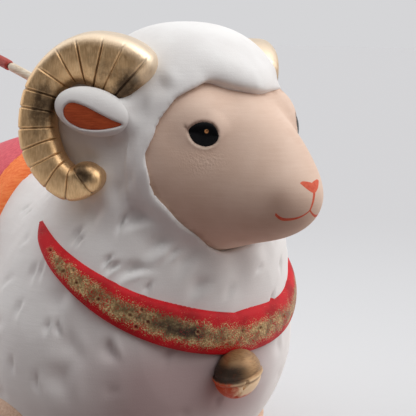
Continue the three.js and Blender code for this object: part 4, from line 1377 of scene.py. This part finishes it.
def collar_field(p):
    form = wool_form(p)
    across = across_collar(p)
    tip_y, tip_z = COLLAR_TIP
    band = np.maximum(np.maximum(-below_top(p), -above_low(p)), p[:, 1] - tip_y - 1)
    from_tip = np.hypot(p[:, 1] - tip_y, p[:, 2] + COLLAR_HANG * p[:, 0] - tip_z)
    band += COLLAR_PINCH * smooth(from_tip, COLLAR_PINCH_REACH, COLLAR_TIP_NEAR)
    relief = SEAT_GAP + COLLAR_RELIEF * (COLLAR_EDGE + COLLAR_CROWN * across * (1 - across))
    relief *= fade(COLLAR_THIN, 1, smooth(from_tip, COLLAR_TIP_NEAR, COLLAR_THIN_REACH))
    rounding = fade(*COLLAR_ROUND, smooth(tip_y - p[:, 1], *COLLAR_ROUND_RUN))
    return np.maximum(carve(form - relief, band, rounding), -form - COLLAR_SINK)


def make_collar():
    verts, faces = surface_net(
        collar_field, graded(-43, 0.4, 45), graded(-59, 0.38, -16), graded(32, 0.38, 73),
    )
    normals = outward(collar_field, verts)
    pits = np.zeros(len(verts))
    rims = np.zeros(len(verts))
    # Painted shade inside each pit and a painted highlight on its rim
    for pixel in SEEN_PITS:
        far = size_of(verts - seen_point(collar_field, pixel))
        pit = hill(far, 0, PIT_RADIUS)
        pits = np.maximum(pits, pit)
        rims = np.maximum(rims, hill(far, 0.62, 0.16))
        verts = verts - normals * (PIT_DEPTH * pit - PIT_RIM * hill(far, 0.8, 0.3))[:, None]
    across = across_collar(verts)
    tip = np.hypot(verts[:, 1] - COLLAR_TIP[0], verts[:, 2] - COLLAR_TIP[1])
    # The middle of the band on the right side gets a painted dark reflection
    add_piece(
        "sponged_collar", verts, faces, collar_paint, "collar", across=across, sponged=smooth(tip, 9, 15),
        pits=pits, pit_rims=rims * smooth(across, 0.05, 0.2),
        burnish=hill(verts[:, 0], -17, 12) * hill(across, 0.42, 0.22),
    )


bell_start = np.array([BELL_X, CHEST[0][1], BELL_Z])
bell_reach = reach_of(wool_form, bell_start, np.array([0, -1.0, 0]), 80)
bell_middle = bell_start - np.array([0, bell_reach + BELL_RADIUS - BELL_SINK, 0])
bell_up = np.array([-math.sin(BELL_ROLL), 0, math.cos(BELL_ROLL)])
bell_long = np.array(BELL_LONG)
bell_long /= np.linalg.norm(bell_long)
bell_wide = np.cross(bell_long, np.array(BELL_FACING))
bell_wide /= np.linalg.norm(bell_wide)
bell_axes = (bell_long, bell_wide, np.cross(bell_long, bell_wide))


def bell_ball(p):
    return ellipsoid(in_axes(p, bell_middle, bell_axes), BELL_HALF)


bell_hole = seen_point(bell_ball, BELL_HOLE_PIXEL)
bell_slot = seen_point(bell_ball, BELL_SLOT_PIXEL)


def bell_field(p):
    rise = (p - bell_middle) @ bell_up
    ridge = sum(height * hill(rise, at, width) for at, width, height in BELL_RIDGE)
    run = bell_slot - bell_hole
    share = np.clip((p - bell_hole) @ run / (run @ run), 0, BELL_SLOT_RUN)
    far = size_of(p - bell_hole - share[:, None] * run)
    slot = 0.6 * hill(far, 0, 0.34) + 0.4 * hill(size_of(p - bell_hole), 0, 0.5)
    slot -= 0.06 * hill(far, 0.8, 0.3)
    return bell_ball(p) - ridge + slot


def make_bell():
    room = BELL_RADIUS + 1
    verts, faces = surface_net(bell_field, *grid_round(bell_middle, bell_middle, 0.2, room, room))
    rise = (verts - bell_middle) @ bell_up
    toward = (verts - bell_middle) @ (0.3 * look_back - 0.95 * look_right) / BELL_RADIUS
    # Painted shade on the bell's shaded side and in the groove above its ridge
    patina = smooth(toward, -0.55, 0.55) * smooth(rise, -0.1, 0.6) * smooth(rise, 5.5, 3)
    patina = np.maximum(patina, 0.8 * hill(rise, 0.95, 0.4) * smooth(toward, -0.6, 0.3))
    red = smooth(rise, 0.0, -0.9) * smooth(toward, -0.05, 0.6) + smooth(rise, -3.2, -4.8)
    red += hill(rise, 0, 0.35) * smooth(toward, 0.3, 0.8)
    # A painted highlight along the ridge, and pale paint below it that also lightens the ridge's shade
    pale = 0.6 * hill(rise, 0, 0.3) + smooth(rise, -0.4, -1.4)
    paints = {"patina": patina, "red": red, "pale": pale}
    paints = {name: np.clip(values, 0, 1) for name, values in paints.items()}
    add_piece("chest_bell", verts, faces, bell_gold, "bell", **paints)


# Saddle cloth

def saddle_front(p):
    """Distance behind the leaning front edge of the cloth."""
    lean = math.hypot(1, SADDLE_FRONT_LEAN)
    return (p[:, 1] - SADDLE_FRONT_Y - SADDLE_FRONT_LEAN * (p[:, 2] - SADDLE_LEAN_Z)) / lean


FRONT_BORDER = SADDLE_BORDER / math.hypot(1, SADDLE_FRONT_LEAN)


def between_borders(p):
    """Negative between the front and rear borders, and a little way under them."""
    front = FRONT_BORDER - SADDLE_TUCK - saddle_front(p)
    return np.maximum(front, p[:, 1] - (SADDLE_REAR_Y - SADDLE_BORDER + SADDLE_TUCK))


def strip(place, start):
    """Negative on a strip as wide as a border."""
    return np.abs(place - start - SADDLE_BORDER / 2) - SADDLE_BORDER / 2


def front_border(p):
    front = saddle_front(p)
    return np.maximum(np.maximum(-front, front - FRONT_BORDER), SADDLE_HEM_Z - p[:, 2])


def rear_border(p):
    return np.maximum(strip(p[:, 1], SADDLE_REAR_Y - SADDLE_BORDER), SADDLE_HEM_Z - p[:, 2])


def spine_band(p):
    band = np.maximum(np.abs(p[:, 0]) - SPINE_BAND_WIDTH / 2, SPINE_BAND_LOW_Z - p[:, 2])
    return np.maximum(band, between_borders(p))


def hem(side):
    def region(p):
        band = np.maximum(strip(p[:, 2], SADDLE_HEM_Z), -side * p[:, 0])
        return np.maximum(band, between_borders(p))
    return region


def cloth(side):
    def region(p):
        above_hem = SADDLE_HEM_Z + SADDLE_BORDER - SADDLE_TUCK - p[:, 2]
        part = np.maximum(above_hem, SPINE_BAND_WIDTH / 2 - SADDLE_TUCK - side * p[:, 0])
        return np.maximum(part, between_borders(p))
    return region


def saddle_field(relief, region):
    def field(p):
        form = wool_form(p)
        top = form - SEAT_GAP - relief - SADDLE_WAVE * waves(p, SADDLE_WAVE_SIZE, 77)
        return np.maximum(carve(top, region(p), SADDLE_ROUND), -form - SADDLE_SINK)
    return field


def make_saddle():
    regions = {
        "saddle_front_border": (SADDLE_BORDER_RELIEF, front_border),
        "saddle_rear_border": (SADDLE_BORDER_RELIEF, rear_border),
        "saddle_spine_band": (SPINE_BAND_RELIEF, spine_band),
    }
    for word, side in SIDES.items():
        regions[f"saddle_{word}_hem"] = (SADDLE_HEM_RELIEF, hem(side))
        regions[f"saddle_{word}_field"] = (SADDLE_RELIEF, cloth(side))
    for node, (relief, region) in regions.items():
        lines = grid_round(*solid_box(node), 0.7, 2, 2)
        verts, faces = surface_net(saddle_field(relief, region), *lines)
        look = saddle_pink if node.endswith("field") else saddle_orange
        add_piece(f"{node}_cloth", verts, faces, look, node)


# Legs and tail

def flank_x(y, z, radius):
    start = np.array([0, y, z], float)
    return reach_of(wool_form, start, np.array([1.0, 0, 0]), 100) + radius - LEG_SINK


def leg_field(hoof, upper, hoof_x, upper_x, shoulder):
    start = np.array([hoof_x, hoof[0], hoof[1]], float)
    end = np.array([upper_x, upper[0], upper[1]], float)
    run = end - start
    ahead = -run / np.linalg.norm(run)

    def field(p):
        q = fold(p)
        share = np.clip((q - start) @ run / (run @ run), 0, 1)
        ankle, width, depth = ANKLE
        radius = fade(hoof[2], upper[2], smooth(share, 0, 1)) - depth * hill(share, ankle, width)
        limb = size_of(q - start - share[:, None] * run) - radius
        if shoulder:
            limb = blend(limb, size_of(q - np.array(SHOULDER)) - SHOULDER_RADIUS, SHOULDER_BLEND)
        forward = (q - start) @ ahead
        cleft = np.abs((q - start) @ np.cross(ahead, UP))
        limb += CLEFT_DEPTH * hill(cleft, 0, CLEFT_HALF_WIDTH) * smooth(forward, 1, 4)
        limb += HOOF_LINE * hill(forward, -1.0, 0.5)
        return np.maximum(carve(limb, -p[:, 2], LEG_ROUND), -wool_form(p) - LEG_BURY)
    return field


def make_legs():
    for name, hoof, upper, turn in (
        ("foreleg", FORE_HOOF, FORE_ELBOW, -FORE_TOE_IN), ("hind_leg", HIND_HOOF, HIND_HOCK, HIND_TOE_OUT),
    ):
        upper_x = flank_x(*upper)
        lines = grid_round(*solid_box(f"left_{name}"), 0.65, 5, 8)
        for word, side in SIDES.items():
            node = f"{word}_{name}"
            field = leg_field(hoof, upper, upper_x + turn, upper_x, node == "right_foreleg")
            piece = for_side(side, *surface_net(field, *lines))
            add_piece(f"{node}_limb", *piece, leg_paint, node)


def make_tail():
    start = np.array([0, RUMP[0][1], TAIL_Z], float)
    reach = reach_of(wool_form, start, np.array([0, 1.0, 0]), 100)
    middle = start + np.array([0, reach + TAIL_SINK, 0])

    def field(p):
        tuft = ellipsoid(p - middle, TAIL_HALF) + TAIL_WAVE * waves(p, TAIL_WAVE_SIZE, 9) + TAIL_TRIM
        return np.maximum(tuft, -wool_form(p) - TAIL_BURY)

    verts, faces = surface_net(field, *grid_round(*solid_box("tail"), 0.55, 2, 2))
    normals = outward(field, verts)
    draw = np.random.default_rng(61)
    for index in draw.choice(len(verts), TAIL_MARKS, replace=False):
        length = draw.uniform(2.5, 4)
        turn = draw.uniform(-0.6, 0.6)
        depth = mark_depth(verts, verts[index], normals[index], length, 1.0, 0.45, turn)
        near = size_of(verts - verts[index]) < MARK_SKIN
        verts = verts - normals * (depth * near)[:, None]
    add_piece("tail_tuft", verts, faces, plain_white, "tail", **no_face(verts))


# Stick

def rod(name, radius, start, end, look, node, rounding):
    """A round length of the stick. Its last ring is doubled, so that the end looks flat."""
    run = np.concatenate([np.linspace(start, end, STICK_RINGS), [end]])
    ends = round_end(np.minimum(run - start, end - run), rounding)
    thick = radius * (1 - STICK_END_NARROW * (1 - ends))
    turn = np.linspace(0, 2 * math.pi, STICK_SIDES, endpoint=False)
    across = np.array([1.0, 0, 0])
    axes = (across, np.cross(stick_axis, across), stick_axis)
    flat = np.column_stack([
        np.outer(thick, np.cos(turn)).ravel(), np.outer(thick, np.sin(turn)).ravel(),
        np.repeat(run, STICK_SIDES),
    ])
    verts = from_axes(flat, stick_seat, axes)
    verts += 0.03 * waves(verts, 3, 15)[:, None] * np.array([1, 0, 1])
    faces = ring_faces(len(run), STICK_SIDES)
    faces.append(list(range(STICK_SIDES)))
    faces.append(list(range(len(verts) - 1, len(verts) - STICK_SIDES - 1, -1)))
    add_piece(name, verts, flipped(faces), look, node, body="stick")


# Making

fleece_white = wool_look()
face_paint = face_look()
eye_gloss = eye_look()
horn_gold = horn_look()
bell_gold = bell_look()
ear_orange = brushed_paint("ear orange", paint(176, 72, 34), paint(208, 98, 52), across=(6, 6, 0.8))
collar_paint = collar_look()
saddle_pink = brushed_paint("saddle pink", paint(204, 78, 92), paint(226, 104, 112))
saddle_orange = brushed_paint("border orange", paint(240, 112, 52), paint(252, 146, 82))
leg_paint = brushed_paint("leg peach", paint(214, 176, 150), paint(234, 204, 182), 0.68)
plain_white = wool_look()
pale_wood = wood_look()
red_lacquer = brushed_paint("red lacquer", paint(160, 54, 46), paint(184, 82, 70), 0.45, across=(1, 10, 1))

make_fleece()
make_face()
for word, side in SIDES.items():
    make_eye(word, side)
    make_horn(word, side)
make_ears()
make_linings()
make_collar()
make_bell()
make_saddle()
make_legs()
make_tail()
shoulder = STICK_LENGTH - STICK_TIP_LENGTH
rod("stick_rod", STICK_RADIUS, SEAT_GAP, shoulder, pale_wood, "back_stick", 0.4)
rod("stick_end", STICK_TIP_RADIUS, shoulder, STICK_LENGTH, red_lacquer, "stick_tip", 0.8)


# Stage, light and camera

FLOOR_HALF = 4.0
FLOOR_PALE = paint(195, 195, 197)
FLOOR_NEAR = paint(207, 208, 210)
FLOOR_GRAIN = paint(180, 180, 182)
FLOOR_FADE = (60, 420)
FLOOR_BOUNCE = (0.64, 0.56, 0.54, 1)
FLOOR_BOUNCE_NEAR = (0.14, 0.1, 0.096, 1)
BOUNCE_FADE = (10, 100)
TENT_BACK = paint(213, 213, 215)
TENT_LEFT = (1.35, 1.34, 1.33, 1)
TENT_RIGHT = (1.36, 1.35, 1.33, 1)
TENT_FRONT = (0.13, 0.123, 0.12, 1)
TENT_TOP = (1.18, 1.18, 1.19, 1)
DIM_TURN = math.radians(14)


def place_in_scene(name, data):
    made = bpy.data.objects.new(name, data)
    bpy.context.scene.collection.objects.link(made)
    return made


def level_way(azimuth):
    """Level direction towards a camera at an azimuth."""
    return (math.sin(azimuth), -math.cos(azimuth), 0)


def make_floor():
    mesh = bpy.data.meshes.new("floor")
    corners = [(x * FLOOR_HALF, y * FLOOR_HALF, 0) for x, y in ((-1, -1), (1, -1), (1, 1), (-1, 1))]
    mesh.from_pydata(corners, [], [(0, 1, 2, 3)])
    floor = place_in_scene("floor", mesh)
    look = Look("floor", 0.9, specular=0.0)
    away = look.node("VectorMath", (0, look.place()), operation="LENGTH").outputs["Value"]
    # The floor seen by the camera is lighter near the object: a painted pool of light
    pale = look.mix(look.between(away, *FLOOR_FADE), FLOOR_NEAR, FLOOR_PALE)
    pale = look.mottle(2.0, 2.0, 0.3, 0.7, pale, FLOOR_GRAIN, 0.02)
    path = look.node("LightPath")
    shown = look.larger(path.outputs["Is Camera Ray"], path.outputs["Is Glossy Ray"])
    shown = look.larger(shown, path.outputs["Is Transmission Ray"])
    near = look.dot(look.place(), level_way(LOOK_AZIMUTH))
    bounce = look.mix(look.between(near, *BOUNCE_FADE), FLOOR_BOUNCE, FLOOR_BOUNCE_NEAR)
    look.colour(look.mix(shown, bounce, pale))
    mesh.materials.append(look.material)


def make_sun(name, azimuth, height, strength, angle, colour):
    data = bpy.data.lights.new(name, "SUN")
    data.energy = strength
    data.angle = math.radians(angle)
    data.color = colour
    lamp = place_in_scene(name, data)
    lamp.rotation_euler = (math.radians(90 - height), 0, math.radians(azimuth))


def make_world():
    """A light tent: bright overhead and at its sides, pale behind the object, dim towards the camera."""
    world = bpy.data.worlds.new("tent")
    bpy.context.scene.world = world
    world.use_nodes = True
    tent = Nodes(world.node_tree)
    toward = tent.node("TexCoord").outputs["Generated"]

    def lit(way, low, high, first, second):
        return tent.mix(tent.between(tent.dot(toward, way), low, high), first, second)

    right = (math.cos(LOOK_AZIMUTH), math.sin(LOOK_AZIMUTH), 0)
    left = (-right[0], -right[1], 0)
    walls = lit(right, 0.3, 0.9, lit(left, 0.3, 0.9, TENT_BACK, TENT_LEFT), TENT_RIGHT)
    walls = lit(level_way(LOOK_AZIMUTH - DIM_TURN), 0.1, 0.6, walls, TENT_FRONT)
    tone = lit((0, 0, 1), 0.4, 0.95, walls, TENT_TOP)
    tent.links.new(tone, tent.nodes["Background"].inputs["Color"])


def make_camera():
    data = bpy.data.cameras.new("camera")
    data.sensor_width = 36
    data.lens = data.sensor_width / 2 / math.tan(LOOK_FIELD / 2)
    data.clip_start = 0.01
    camera = place_in_scene("camera", data)
    camera.location = look_from * MM
    camera.rotation_euler = (math.pi / 2 - LOOK_ELEVATION, 0, LOOK_AZIMUTH)
    bpy.context.scene.camera = camera


make_floor()
make_world()
make_sun("key", azimuth=27, height=54, strength=1.0, angle=50, colour=(1, 0.99, 0.97))
make_camera()
make_camera()
bpy.context.scene.view_settings.view_transform = "Standard"
